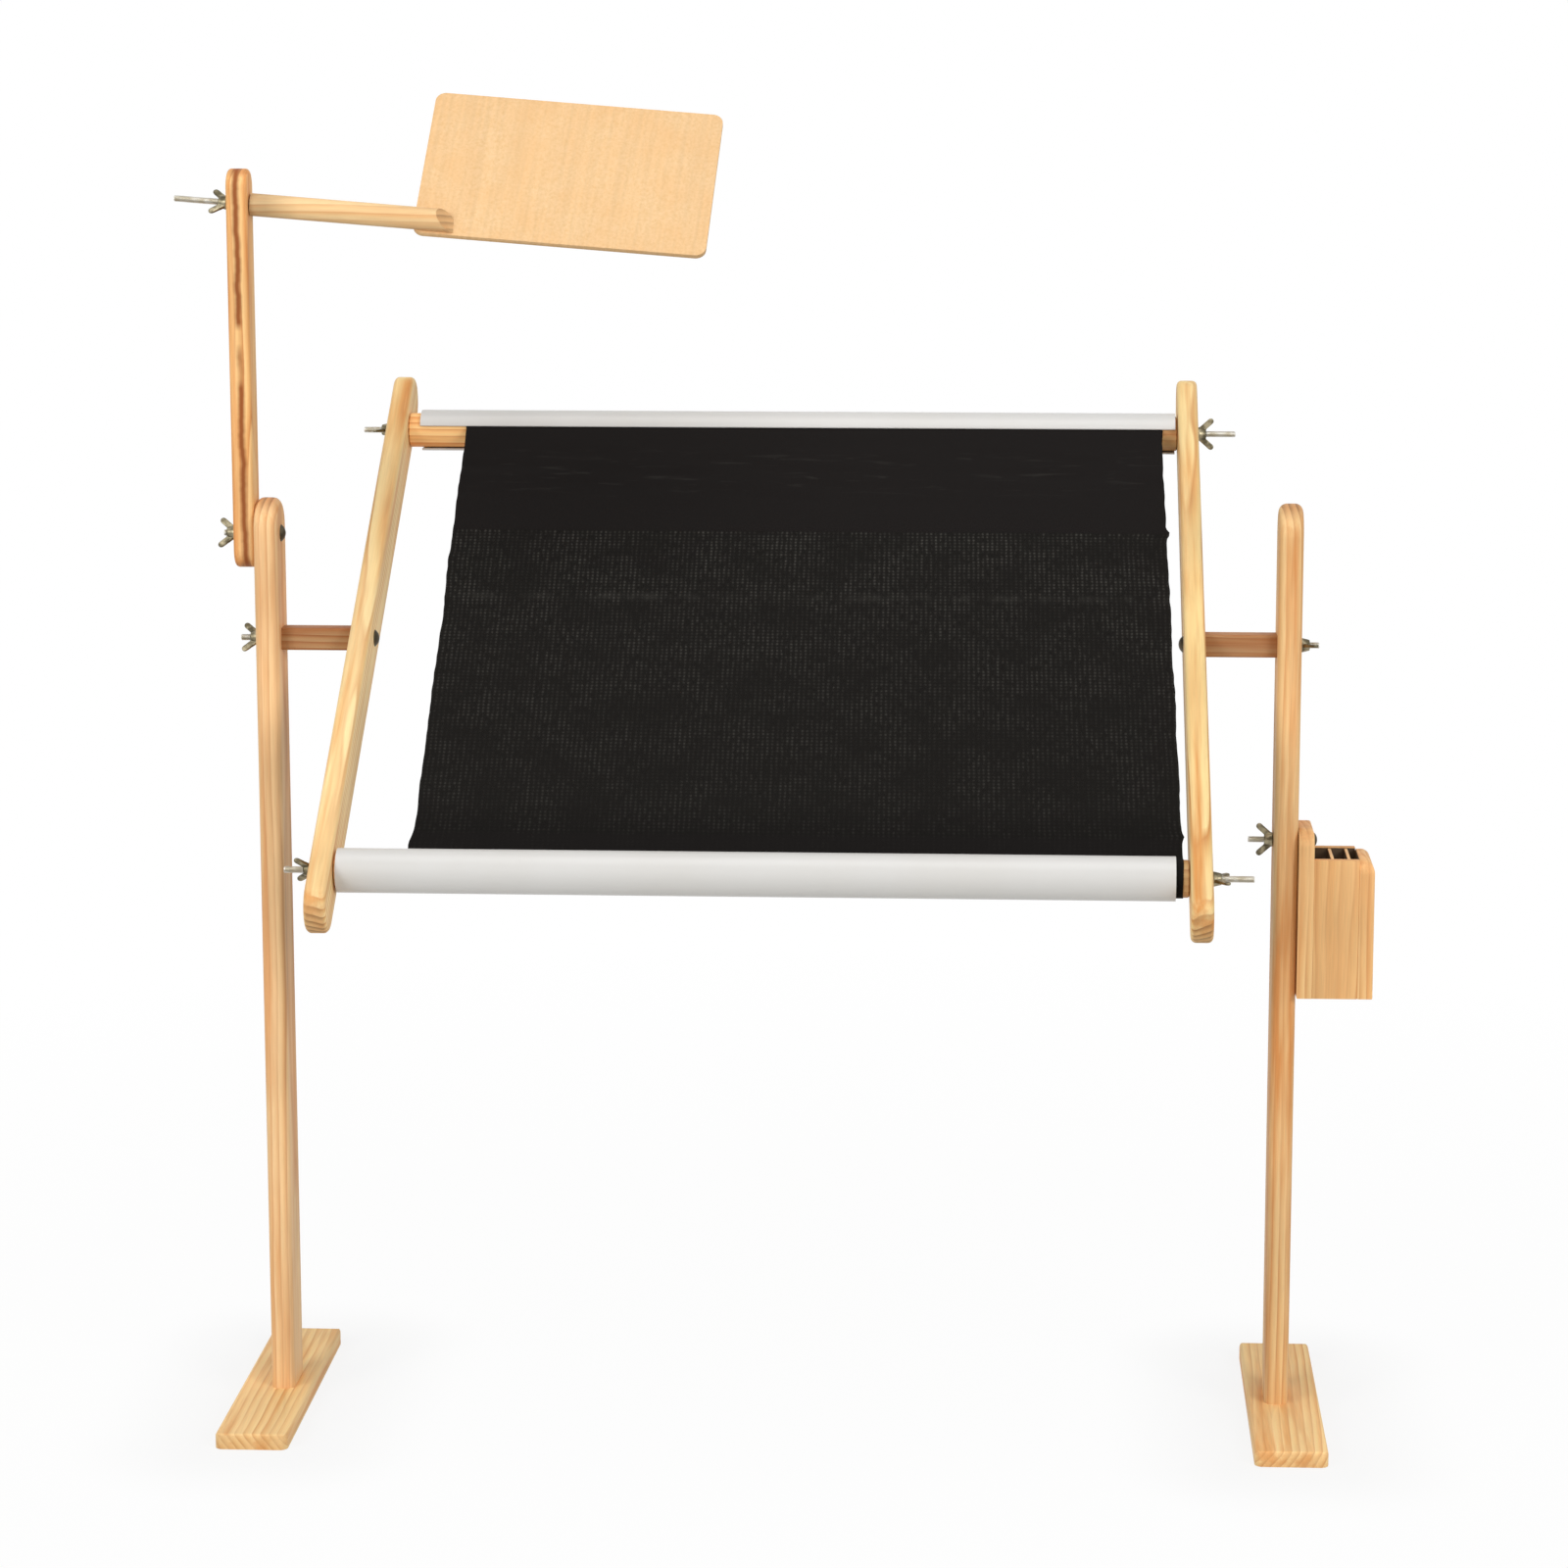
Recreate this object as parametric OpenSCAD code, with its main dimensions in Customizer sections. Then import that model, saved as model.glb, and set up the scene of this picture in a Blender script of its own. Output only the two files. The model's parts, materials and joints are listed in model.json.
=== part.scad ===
// Floor-standing embroidery frame: two pine side stands carry a tilting scroll frame
// whose two rollers hold the cloth under press-on clips. A chart board on a swinging arm
// stands over the left post and a small tool box hangs on the right post.
// X runs to the embroiderer's right, Y away from them, Z up from the floor.

/* [Side stands] */
// Height of a post above its foot
post_len = 695; // [620:5:800]
// Width of a post, front to back
post_w = 45; // [35:1:60]
// Thickness of a post
post_t = 18; // [15:1:24]
// Rounding of the upright edges of a post
post_edge_r = 6; // [2:0.5:7]
// Length of a foot, front to back
foot_len = 260; // [200:5:360]
// Width of a foot
foot_w = 55; // [45:1:80]
// Thickness of a foot
foot_t = 12; // [10:1:20]
// Rounding of the foot's corners, seen from above
foot_corner_r = 6; // [3:1:15]
// Rounding of the foot's upper edges
foot_edge_r = 3; // [1:0.5:5]
// How far a foot's middle stands outside its post's middle
foot_offset = 6; // [0:1:10]
// Distance between the two screws that hold a post on its foot
foot_screw_gap = 24; // [16:1:30]

/* [Scroll frame] */
// How far the tilting pivot lies below the top of the posts
pivot_drop = 107; // [85:1:180]
// Clear width between the two side rails
rail_gap = 612; // [560:2:700]
// Tilt of the frame, far roller up
frame_tilt = 34; // [0:1:80]
// Length of a side rail
rail_len = 600; // [540:5:700]
// Width of a side rail
rail_w = 40; // [30:1:50]
// Thickness of a side rail
rail_t = 16; // [12:1:22]
// Rounding of the long edges of a rail
rail_edge_r = 4; // [2:0.5:6]
// Distance from a roller's axis to the nearer end of the rails
roller_inset = 55; // [35:1:90]
// Length of the spacer block between a rail and its post
spacer_len = 53.7; // [45:0.1:80]
// Side of the square spacer block on each pivot bolt
spacer_w = 17; // [14:1:22]
// Rounding of the spacer's long edges
spacer_edge_r = 1.5; // [0.5:0.5:3]

/* [Rollers and clips] */
// Diameter of a roller
roller_d = 27; // [22:0.5:30]
// How much shorter a clip is than the clear width between the rails
clip_spare = 12; // [10:1:60]
// Wall of a clip
clip_wall = 1.7; // [1.2:0.1:2.5]
// Half of the angle over which a clip is open
clip_open = 48; // [35:1:60]
// How far each clip is turned on its roller, upper lip back
clip_turn = 7; // [0:1:12]
// How far the upper clip has slid to the right, and the lower one to the left
clip_slide = 4; // [0:0.5:4.5]
// Chamfer round the ends of a roller
roller_chamfer = 1; // [0.5:0.5:2]

/* [Cloth] */
// How much narrower the cloth is than the clear width between the rails
cloth_spare = 60; // [56:2:200]
// Thickness of the cloth
cloth_t = 0.5; // [0.4:0.1:0.8]
// How far the cloth lies to the right on the upper roller
cloth_shift_top = 17; // [-25:1:25]
// How far the cloth lies to the right on the lower roller
cloth_shift_bottom = 25; // [-25:1:27]

/* [Chart board] */
// Length of the arm
arm_len = 300; // [260:5:340]
// Width of the arm
arm_w = 28; // [22:1:36]
// Thickness of the arm
arm_t = 16; // [12:1:20]
// Rounding of the long edges of the arm
arm_edge_r = 3; // [1:0.5:5]
// Distance from each end of the arm to its hole
arm_hole_inset = 26; // [16:1:40]
// How far the arm's pivot lies below the top of the left post
arm_pivot_drop = 27; // [18:1:35]
// Length of the round rod between the arm and its end
chart_rod_len = 156; // [120:2:200]
// Diameter of that rod
chart_rod_d = 17; // [14:0.5:20]
// Droop of the rod towards its free end
chart_droop = 4.5; // [0:0.5:8]
// Width of the board
board_w = 220; // [180:2:300]
// Height of the board
board_h = 136; // [100:2:200]
// Thickness of the board
board_t = 4; // [3:0.5:6]
// Rounding of the board's corners
board_corner_r = 8; // [3:1:15]
// Lean of the board away from the embroiderer
board_lean = 42; // [20:1:60]
// How much of the rod lies on the board
board_lap = 34; // [26:1:60]
// Depth of the flat on the rod where the board is screwed on
rod_flat = 3; // [2:0.5:4]
// Slant of the cut across the rod's free end
rod_end_slant = 30; // [0:5:40]
// How far that cut is turned towards the embroiderer
rod_end_turn = 30; // [0:5:40]

/* [Tool box] */
// How far the tool box's bolt lies below the top of the right post
box_bolt_drop = 256; // [150:2:400]
// Thickness of the box's two side boards
box_side_t = 11.5; // [9:1:16]
// Width of the box's side boards, front to back
box_depth = 56; // [38:1:70]
// Width of the compartment next to the inner side board
slot_1_w = 13; // [8:0.5:30]
// Width of the middle compartment
slot_2_w = 10; // [6:0.5:30]
// Width of the compartment next to the outer side board
slot_3_w = 6; // [4.5:0.5:30]
// Height of the box's walls
box_h = 107; // [80:1:140]
// How far the bolt lies above the walls' upper edge
box_bolt_rise = 10; // [9:1:20]
// How far the inner side board reaches above the bolt
box_ear_rise = 12; // [10:1:24]
// Rounding of the inner side board's upper corners
box_ear_r = 14; // [6:1:18]
// Rounding of the outer side board's upper corners
box_corner_r = 12; // [4:1:18]
// Rounding of the outer side board's upper outer edge
box_outer_round = 10; // [1:0.5:11]
// Rounding of the inner side board's upper edge, towards the compartments
box_inner_round = 4; // [1:0.5:5]
// Thickness of the box's front, back and bottom
box_wall_t = 6; // [4:1:8]
// Thickness of a divider
divider_t = 2.5; // [2:0.5:4]
// How far the dividers stop below the walls' upper edge
divider_drop = 1; // [0:1:20]

/* [Hardware] */
// Diameter of every bolt
bolt_d = 5; // [4:1:6]
// Diameter of a bolt's round head
bolt_head_d = 13; // [11:0.5:16]
// Height of a bolt's round head
bolt_head_h = 3.5; // [2.5:0.5:4.5]
// Length of the square neck under a bolt's head
neck_len = 3; // [2:0.5:5]
// Width of that square neck
neck_w = 5.5; // [5:0.5:7]
// Span of a wing nut over both wings
nut_span = 25; // [20:1:30]
// Height of a wing nut
nut_h = 12.5; // [10:0.5:16]
// Diameter of a wing nut at its foot
nut_base_d = 11; // [9:0.5:14]
// Diameter of a wing nut's hub at its outer end
nut_top_d = 8; // [6.5:0.5:10]
// Height of a wing nut's hub
nut_hub_h = 6.5; // [5:0.5:9]
// How far the wings' roots lie above the nut's foot
wing_rise = 1.2; // [0.5:0.1:2]
// Thickness of a wing
wing_t = 2.2; // [1.5:0.1:3]
// Radius of a wing's round tip
wing_tip_r = 2.3; // [1.8:0.1:4]
// How far a roller's bolt is screwed into the wood
bolt_grip = 25; // [18:1:40]
// How far the roller bolts stand out of the left rail
roller_bolt_out_left = 21; // [15:1:30]
// How far the roller bolts stand out of the right rail
roller_bolt_out_right = 30; // [15:1:32]
// How far the frame's pivot bolts stand out of the posts
pivot_bolt_out = 14; // [12:1:25]
// How far the arm's pivot bolt stands out of the arm
arm_bolt_out = 9; // [8:1:25]
// How far the chart rod's bolt stands out of the arm
chart_bolt_out = 41; // [15:1:50]
// How far the tool box's bolt stands out of the post
box_bolt_out = 19; // [12:1:20]
// Diameter of the foot screws
screw_d = 4; // [3:0.5:5]
// Diameter of a foot screw's head
screw_head_d = 8; // [6:0.5:10]
// Length of a foot screw
screw_len = 45; // [30:1:60]
// Diameter of the board screws
board_screw_d = 2.5; // [2:0.5:3]
// Diameter of a board screw's head
board_screw_head_d = 5; // [4:0.5:6]
// Length of a board screw
board_screw_len = 10; // [7:0.5:11]

/* [Fits] */
// Clearance round a bolt in its hole, on the radius
bolt_fit = 0.1; // [0.05:0.01:0.1]
// Clearance round a fixed screw in its hole, on the radius
screw_fit = 0.05; // [0.02:0.01:0.1]
// Gap between faces that turn on each other
face_gap = 0.3; // [0.1:0.1:0.4]
// Gap between the cloth and the roller, and the cloth and the clip
wrap_gap = 0.25; // [0.2:0.05:0.4]

/* [Hidden] */
$fn = 64;

pine = "#e3bd85";
pine_shade = "#c99a62";
zinc = "#8f8b78";
white_plastic = "#f2f1ee";
black_cloth = "#242221";
board_brown = "#f0cd96";

// Small sizes that every piece of one kind shares
thread_end = 0.6;
screw_tip = 3;
pilot_spare = 1;
board_screw_inset = 8;
board_screw_setback = 13;
board_foot_margin = 0.5;
overrun = 1;

// Places along X, counted from the middle of the stand
rail_in = rail_gap / 2;
rail_x = rail_in + rail_t / 2;
rail_out = rail_in + rail_t;
post_in = rail_out + face_gap + spacer_len;
post_x = post_in + post_t / 2;
post_out = post_in + post_t;
foot_x = post_x + foot_offset;
arm_x = post_out + face_gap + arm_t / 2;
box_x = post_out + face_gap;
box_cavity_x = box_x + box_side_t;
box_inner_w = slot_1_w + slot_2_w + slot_3_w + 2 * divider_t;
box_outer_x = box_cavity_x + box_inner_w;

// Heights above the floor
post_top = foot_t + post_len;
pivot_h = post_top - pivot_drop;
arm_pivot_h = post_top - arm_pivot_drop;
box_bolt_h = post_top - box_bolt_drop;

// Lengths worked out from the sizes above
roller_len = rail_gap - 2 * face_gap;
roller_y = rail_len / 2 - roller_inset;
clip_len = rail_gap - clip_spare;
cloth_w = rail_gap - cloth_spare;
wrap_in_r = roller_d / 2 + wrap_gap;
wrap_out_r = wrap_in_r + cloth_t;
clip_in_r = wrap_out_r + wrap_gap;
clip_out_r = clip_in_r + clip_wall;
clip_mid_r = clip_in_r + clip_wall / 2;
hole_r = bolt_d / 2 + bolt_fit;

// The cloth leaves each roller just under the clip's upper lip
cloth_top_z = clip_mid_r * sin(clip_open + clip_turn) - clip_wall / 2 - wrap_gap;
cloth_mid_z = cloth_top_z - cloth_t / 2;
cloth_start_y = sqrt(pow(wrap_in_r, 2) - pow(cloth_top_z - cloth_t, 2));

// The arm's upper hole, where the chart rod turns
arm_reach = arm_len - 2 * arm_hole_inset;
chart_z = arm_pivot_h + arm_reach;
board_seat = chart_rod_d / 2 - rod_flat;
board_foot = chart_rod_d / 2 + board_foot_margin;

// The tool box, counted from its bolt
box_top_z = box_bolt_h - box_bolt_rise;
box_low_z = box_top_z - box_h;
cavity_depth = box_depth - 2 * box_wall_t;

// Flat shapes

module rounded_rect(w, h, r) {
    square([w - 2 * r, h], center = true);
    square([w, h - 2 * r], center = true);
    for (sx = [-1, 1], sy = [-1, 1]) {
        translate([sx * (w / 2 - r), sy * (h / 2 - r)]) circle(r = r);
    }
}

// Draws a flat shape in the Y-Z plane and pulls it along X from its middle
module along_x(l) {
    rotate([90, 0, 90]) linear_extrude(l, center = true) children();
}

// Draws a flat shape in the X-Z plane and pulls it along Y from its middle
module along_y(l) {
    rotate([90, 0, 0]) linear_extrude(l, center = true) children();
}

module rod_x(r, from, to) {
    translate([from, 0, 0]) rotate([0, 90, 0]) cylinder(r = r, h = to - from);
}

// Half of a disc with a rounded rim, standing on edge: its round side faces up
module rounded_half_disc(d, t, edge_r) {
    intersection() {
        rotate([0, 90, 0]) rotate_extrude() intersection() {
            rounded_rect(d, t, edge_r);
            translate([0, -t]) square([d, 2 * t]);
        }
        translate([-t, -d, 0]) cube([2 * t, 2 * d, d]);
    }
}

// Flat bar with round ends and its edges rounded all round: length along Y, width along Z, thickness along X
module round_bar(l, w, t, edge_r) {
    along_y(l - w) rounded_rect(t, w, edge_r);
    for (s = [-1, 1]) {
        translate([0, s * (l - w) / 2, 0]) rotate([-s * 90, 0, 0]) rounded_half_disc(w, t, edge_r);
    }
}

// Hardware, each piece drawn with its axis on Z and its outer end up

module bolt_shank(from, to) {
    translate([0, 0, from]) cylinder(d = bolt_d, h = to - from - thread_end);
    translate([0, 0, to - thread_end]) cylinder(d1 = bolt_d, d2 = bolt_d - 2 * thread_end, h = thread_end);
}

// The head's flat side lies at zero and the shank runs up from it
module round_head_bolt(l) {
    dome_r = (pow(bolt_head_d / 2, 2) + pow(bolt_head_h, 2)) / (2 * bolt_head_h);
    rotate_extrude() intersection() {
        translate([0, dome_r - bolt_head_h]) circle(r = dome_r);
        translate([0, -bolt_head_h]) square([bolt_head_d / 2, bolt_head_h]);
    }
    translate([-neck_w / 2, -neck_w / 2, 0]) cube([neck_w, neck_w, neck_len]);
    bolt_shank(neck_len, l);
}

module wing_outline() {
    tip = [nut_span / 2 - wing_tip_r, nut_h - wing_tip_r];
    root_x = bolt_d / 2 + wing_t / 2;
    translate(tip) circle(r = wing_tip_r);
    polygon([
        [root_x, wing_rise],
        [nut_base_d / 2, wing_rise],
        tip + wing_tip_r * [cos(40), -sin(40)],
        tip + wing_tip_r * [-cos(40), sin(40)],
        [root_x, nut_hub_h - wing_rise / 2]
    ]);
}

module wing_nut() {
    difference() {
        union() {
            cylinder(d1 = nut_base_d, d2 = nut_top_d, h = nut_hub_h);
            for (side = [0, 180]) {
                rotate([0, 0, side]) rotate([90, 0, 0])
                    linear_extrude(wing_t, center = true) wing_outline();
            }
        }
        translate([0, 0, -overrun]) cylinder(r = hole_r, h = nut_h + 2 * overrun);
    }
}

module wood_screw(l, d, head_d) {
    head_h = (head_d - d) / 2;
    rotate_extrude() polygon([
        [0, 0], [head_d / 2, 0], [d / 2, head_h], [d / 2, l - screw_tip], [0, l]
    ]);
}

module wood_screw_hole(l, d, head_d) {
    head_h = (head_d - d) / 2;
    translate([0, 0, -overrun]) cylinder(r = head_d / 2 + screw_fit, h = overrun);
    cylinder(r1 = head_d / 2 + screw_fit, r2 = d / 2 + screw_fit, h = head_h);
    cylinder(r = d / 2 + screw_fit, h = l + pilot_spare);
}

// Turns a piece drawn along Z to lie along X, its outer end to the right or the left
module facing_right(x) {
    translate([x, 0, 0]) rotate([0, 90, 0]) children();
}

module facing_left(x) {
    translate([-x, 0, 0]) rotate([0, -90, 0]) children();
}

// Side stands

module foot_screw_places() {
    for (s = [-1, 1]) {
        translate([0, s * foot_screw_gap / 2, 0]) children();
    }
}

module foot(side) {
    difference() {
        translate([side * foot_x, 0, 0]) intersection() {
            linear_extrude(foot_t) rounded_rect(foot_w, foot_len, foot_corner_r);
            translate([0, 0, (foot_t - foot_edge_r) / 2]) {
                along_y(foot_len) rounded_rect(foot_w, foot_t + foot_edge_r, foot_edge_r);
            }
            translate([0, 0, (foot_t - foot_edge_r) / 2]) {
                along_x(foot_w) rounded_rect(foot_len, foot_t + foot_edge_r, foot_edge_r);
            }
        }
        translate([side * post_x, 0, 0]) foot_screw_places() {
            wood_screw_hole(screw_len, screw_d, screw_head_d);
        }
    }
}

module post_blank() {
    straight = post_len - post_w / 2;
    translate([0, 0, foot_t]) linear_extrude(straight) rounded_rect(post_t, post_w, post_edge_r);
    translate([0, 0, foot_t + straight]) rounded_half_disc(post_w, post_t, post_edge_r);
}

module post(side, hole_heights) {
    difference() {
        translate([side * post_x, 0, 0]) post_blank();
        for (h = hole_heights) {
            translate([side * post_x, 0, h]) rod_x(hole_r, -post_t, post_t);
        }
        translate([side * post_x, 0, 0]) foot_screw_places() {
            cylinder(r = screw_d / 2 + screw_fit, h = screw_len + pilot_spare);
        }
    }
}

// Square pocket for a bolt's neck, sunk from the face at x towards the side given
module neck_pocket(x, side) {
    translate([x + side * neck_len / 2, 0, 0]) {
        cube([neck_len + 2 * screw_fit, neck_w + 2 * screw_fit, neck_w + 2 * screw_fit], center = true);
    }
}

module spacer(side) {
    translate([side * (rail_out + face_gap + spacer_len / 2), 0, pivot_h]) difference() {
        along_x(spacer_len) rounded_rect(spacer_w, spacer_w, spacer_edge_r);
        rod_x(hole_r, -spacer_len, spacer_len);
    }
}

module left_foot() {
    color(pine) foot(-1);
}

module right_foot() {
    color(pine) foot(1);
}

module left_post() {
    color(pine) difference() {
        post(-1, [pivot_h, arm_pivot_h]);
        translate([0, 0, arm_pivot_h]) neck_pocket(-post_in, -1);
    }
}

module right_post() {
    color(pine) post(1, [pivot_h, box_bolt_h]);
}

module foot_screws() {
    color(zinc) for (side = [-1, 1]) {
        translate([side * post_x, 0, 0]) foot_screw_places() {
            wood_screw(screw_len, screw_d, screw_head_d);
        }
    }
}

module left_spacer() {
    color(pine_shade) spacer(-1);
}

module right_spacer() {
    color(pine_shade) spacer(1);
}

// Scroll frame: in_frame's Y runs up the rails and its Z stands square to the cloth

module in_frame() {
    translate([0, 0, pivot_h]) rotate([frame_tilt, 0, 0]) children();
}

module rail(side) {
    in_frame() difference() {
        translate([side * rail_x, 0, 0]) round_bar(rail_len, rail_w, rail_t, rail_edge_r);
        for (y = [-roller_y, 0, roller_y]) {
            translate([side * rail_x, y, 0]) rod_x(hole_r, -rail_t, rail_t);
        }
        neck_pocket(side * rail_in, side);
    }
}

module pivot_bolt(side) {
    bolt_len = post_out - rail_in + pivot_bolt_out;
    in_frame() {
        if (side > 0) {
            facing_right(rail_in) round_head_bolt(bolt_len);
        } else {
            facing_left(rail_in) round_head_bolt(bolt_len);
        }
    }
}

module roller(end) {
    in_frame() translate([0, end * roller_y, 0]) difference() {
        translate([-roller_len / 2, 0, 0]) rotate([0, 90, 0]) rotate_extrude() polygon([
            [0, 0],
            [roller_d / 2 - roller_chamfer, 0],
            [roller_d / 2, roller_chamfer],
            [roller_d / 2, roller_len - roller_chamfer],
            [roller_d / 2 - roller_chamfer, roller_len],
            [0, roller_len]
        ]);
        for (side = [-1, 1]) {
            mirror([side > 0 ? 0 : 1, 0, 0]) {
                rod_x(bolt_d / 2 + screw_fit, roller_len / 2 - bolt_grip - pilot_spare, roller_len / 2 + overrun);
            }
        }
    }
}

module roller_bolt(end, side) {
    start = roller_len / 2 - bolt_grip;
    in_frame() translate([0, end * roller_y, 0]) {
        if (side > 0) {
            facing_right(0) bolt_shank(start, rail_out + roller_bolt_out_right);
        } else {
            facing_left(0) bolt_shank(start, rail_out + roller_bolt_out_left);
        }
    }
}

// The clip's mouth faces the other roller
module clip(end) {
    mouth = end > 0 ? 180 - clip_turn : clip_turn;
    in_frame() translate([end * clip_slide, end * roller_y, 0]) along_x(clip_len) rotate(mouth) {
        difference() {
            circle(r = clip_out_r);
            circle(r = clip_in_r);
            polygon([
                [0, 0],
                2 * clip_out_r * [cos(clip_open), -sin(clip_open)],
                2 * clip_out_r * [1, 0],
                2 * clip_out_r * [cos(clip_open), sin(clip_open)]
            ]);
        }
        for (s = [-1, 1]) {
            translate(clip_mid_r * [cos(clip_open), s * sin(clip_open)]) circle(d = clip_wall, $fn = 24);
        }
    }
}

module cloth_wrap(end, shift) {
    translate([shift, end * roller_y, 0]) along_x(cloth_w) difference() {
        circle(r = wrap_out_r);
        circle(r = wrap_in_r);
    }
}

module left_rail() {
    color(pine) rail(-1);
}

module right_rail() {
    color(pine) rail(1);
}

module left_pivot_bolt() {
    color(zinc) pivot_bolt(-1);
}

module right_pivot_bolt() {
    color(zinc) pivot_bolt(1);
}

module left_pivot_nut() {
    color(zinc) translate([0, 0, pivot_h]) facing_left(post_out + face_gap) rotate([0, 0, 40]) wing_nut();
}

module right_pivot_nut() {
    color(zinc) translate([0, 0, pivot_h]) facing_right(post_out + face_gap) rotate([0, 0, 85]) wing_nut();
}

module top_roller() {
    color(pine) roller(1);
}

module bottom_roller() {
    color(pine) roller(-1);
}

module top_clip() {
    color(white_plastic) clip(1);
}

module bottom_clip() {
    color(white_plastic) clip(-1);
}

// One piece of cloth: a turn round each roller and the stretched span between them
module cloth() {
    far_y = roller_y - cloth_start_y;
    half_w = cloth_w / 2;
    color(black_cloth) in_frame() union() {
        cloth_wrap(1, cloth_shift_top);
        cloth_wrap(-1, cloth_shift_bottom);
        translate([0, 0, cloth_top_z - cloth_t]) linear_extrude(cloth_t) polygon([
            [cloth_shift_top - half_w, far_y],
            [cloth_shift_top + half_w, far_y],
            [cloth_shift_bottom + half_w, -far_y],
            [cloth_shift_bottom - half_w, -far_y]
        ]);
    }
}

module top_left_bolt() {
    color(zinc) roller_bolt(1, -1);
}

module top_right_bolt() {
    color(zinc) roller_bolt(1, 1);
}

module bottom_left_bolt() {
    color(zinc) roller_bolt(-1, -1);
}

module bottom_right_bolt() {
    color(zinc) roller_bolt(-1, 1);
}

module top_left_nut() {
    color(zinc) in_frame() translate([0, roller_y, 0]) {
        facing_left(rail_out + face_gap) rotate([0, 0, 125]) wing_nut();
    }
}

module top_right_nut() {
    color(zinc) in_frame() translate([0, roller_y, 0]) {
        facing_right(rail_out + face_gap) rotate([0, 0, 145]) wing_nut();
    }
}

module bottom_left_nut() {
    color(zinc) in_frame() translate([0, -roller_y, 0]) {
        facing_left(rail_out + face_gap) rotate([0, 0, -5]) wing_nut();
    }
}

module bottom_right_nut() {
    color(zinc) in_frame() translate([0, -roller_y, 0]) {
        facing_right(rail_out + face_gap) rotate([0, 0, 62]) wing_nut();
    }
}

// Chart board: at_chart's X runs down the drooping rod from the arm's middle

module at_chart() {
    translate([-arm_x, 0, chart_z]) rotate([0, chart_droop, 0]) children();
}

rod_start = arm_t / 2 / cos(chart_droop) + face_gap + chart_rod_d / 2 * tan(chart_droop);
rod_end = rod_start + chart_rod_len;
board_x = rod_end - board_lap;

module board_screw_places() {
    for (x = [board_x + board_screw_inset, rod_end - board_screw_setback]) {
        rotate([-board_lean, 0, 0]) translate([x, board_seat + board_t, 0]) rotate([90, 0, 0]) children();
    }
}

module chart_arm() {
    color(pine) difference() {
        translate([-arm_x, 0, arm_pivot_h + arm_reach / 2]) rotate([90, 0, 0]) {
            round_bar(arm_len, arm_w, arm_t, arm_edge_r);
        }
        translate([-arm_x, 0, arm_pivot_h]) rod_x(hole_r, -arm_t, arm_t);
        at_chart() rod_x(hole_r, -arm_t, arm_t);
    }
}

module chart_arm_bolt() {
    bolt_len = post_t + face_gap + arm_t + arm_bolt_out;
    color(zinc) translate([0, 0, arm_pivot_h]) {
        translate([-post_in, 0, 0]) rotate([0, -90, 0]) round_head_bolt(bolt_len);
    }
}

module chart_arm_nut() {
    color(zinc) translate([0, 0, arm_pivot_h]) {
        facing_left(arm_x + arm_t / 2 + face_gap) rotate([0, 0, 35]) wing_nut();
    }
}

module chart_rod() {
    color(pine) at_chart() difference() {
        rod_x(chart_rod_d / 2, rod_start, rod_end);
        rod_x(bolt_d / 2 + screw_fit, rod_start - overrun, rod_start + bolt_grip + pilot_spare);
        rotate([-board_lean, 0, 0]) {
            translate([board_x, board_seat, -chart_rod_d]) {
                cube([board_lap + overrun, chart_rod_d, 2 * chart_rod_d]);
            }
        }
        translate([rod_end, board_seat, -chart_rod_d / 2]) rotate([0, -rod_end_slant, -rod_end_turn]) {
            translate([0, -2 * chart_rod_d, -2 * chart_rod_d]) cube(4 * chart_rod_d);
        }
        board_screw_places() {
            cylinder(r = board_screw_d / 2 + screw_fit, h = board_screw_len + pilot_spare);
        }
    }
}

module chart_rod_bolt() {
    color(zinc) at_chart() rotate([0, -90, 0]) {
        bolt_shank(-rod_start - bolt_grip, arm_t / 2 + chart_bolt_out);
    }
}

module chart_rod_nut() {
    nut_z = rod_start;
    color(zinc) at_chart() rotate([0, -90, 0]) translate([0, 0, nut_z]) rotate([0, 0, 50]) wing_nut();
}

module chart_board() {
    color(board_brown) at_chart() difference() {
        rotate([-board_lean, 0, 0]) translate([board_x, board_seat, -board_foot]) {
            translate([board_w / 2, board_t / 2, board_h / 2]) {
                along_y(board_t) rounded_rect(board_w, board_h, board_corner_r);
            }
        }
        board_screw_places() {
            wood_screw_hole(board_screw_len, board_screw_d, board_screw_head_d);
        }
    }
}

module chart_board_screws() {
    color(zinc) at_chart() board_screw_places() {
        wood_screw(board_screw_len, board_screw_d, board_screw_head_d);
    }
}

// Tool box

// Side board standing on the box's floor line, its upper corners rounded
module side_board(h, corner_r) {
    translate([0, 0, box_low_z]) along_x(box_side_t) union() {
        translate([-box_depth / 2, 0]) square([box_depth, h - corner_r]);
        translate([-box_depth / 2 + corner_r, 0]) square([box_depth - 2 * corner_r, h]);
        for (s = [-1, 1]) {
            translate([s * (box_depth / 2 - corner_r), h - corner_r]) circle(r = corner_r);
        }
    }
}

// Cutter that rounds a side board's upper edge; x is the face it starts from and h the board's height
module edge_round(x, h, r) {
    translate([x - r, 0, box_low_z + h - r]) difference() {
        translate([0, -box_depth / 2 - overrun, 0]) cube([r + overrun, box_depth + 2 * overrun, r + overrun]);
        rotate([90, 0, 0]) cylinder(h = box_depth + 4 * overrun, r = r, center = true);
    }
}

module end_wall(s) {
    translate([box_cavity_x, s * (box_depth - box_wall_t) / 2 - box_wall_t / 2, box_low_z]) {
        cube([box_inner_w, box_wall_t, box_h]);
    }
}

// Divider whose near face lies x away from the inner side board
module divider(x) {
    floor_z = box_low_z + box_wall_t;
    translate([box_cavity_x + x, -cavity_depth / 2, floor_z]) {
        cube([divider_t, cavity_depth, box_h - box_wall_t - divider_drop]);
    }
}

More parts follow.
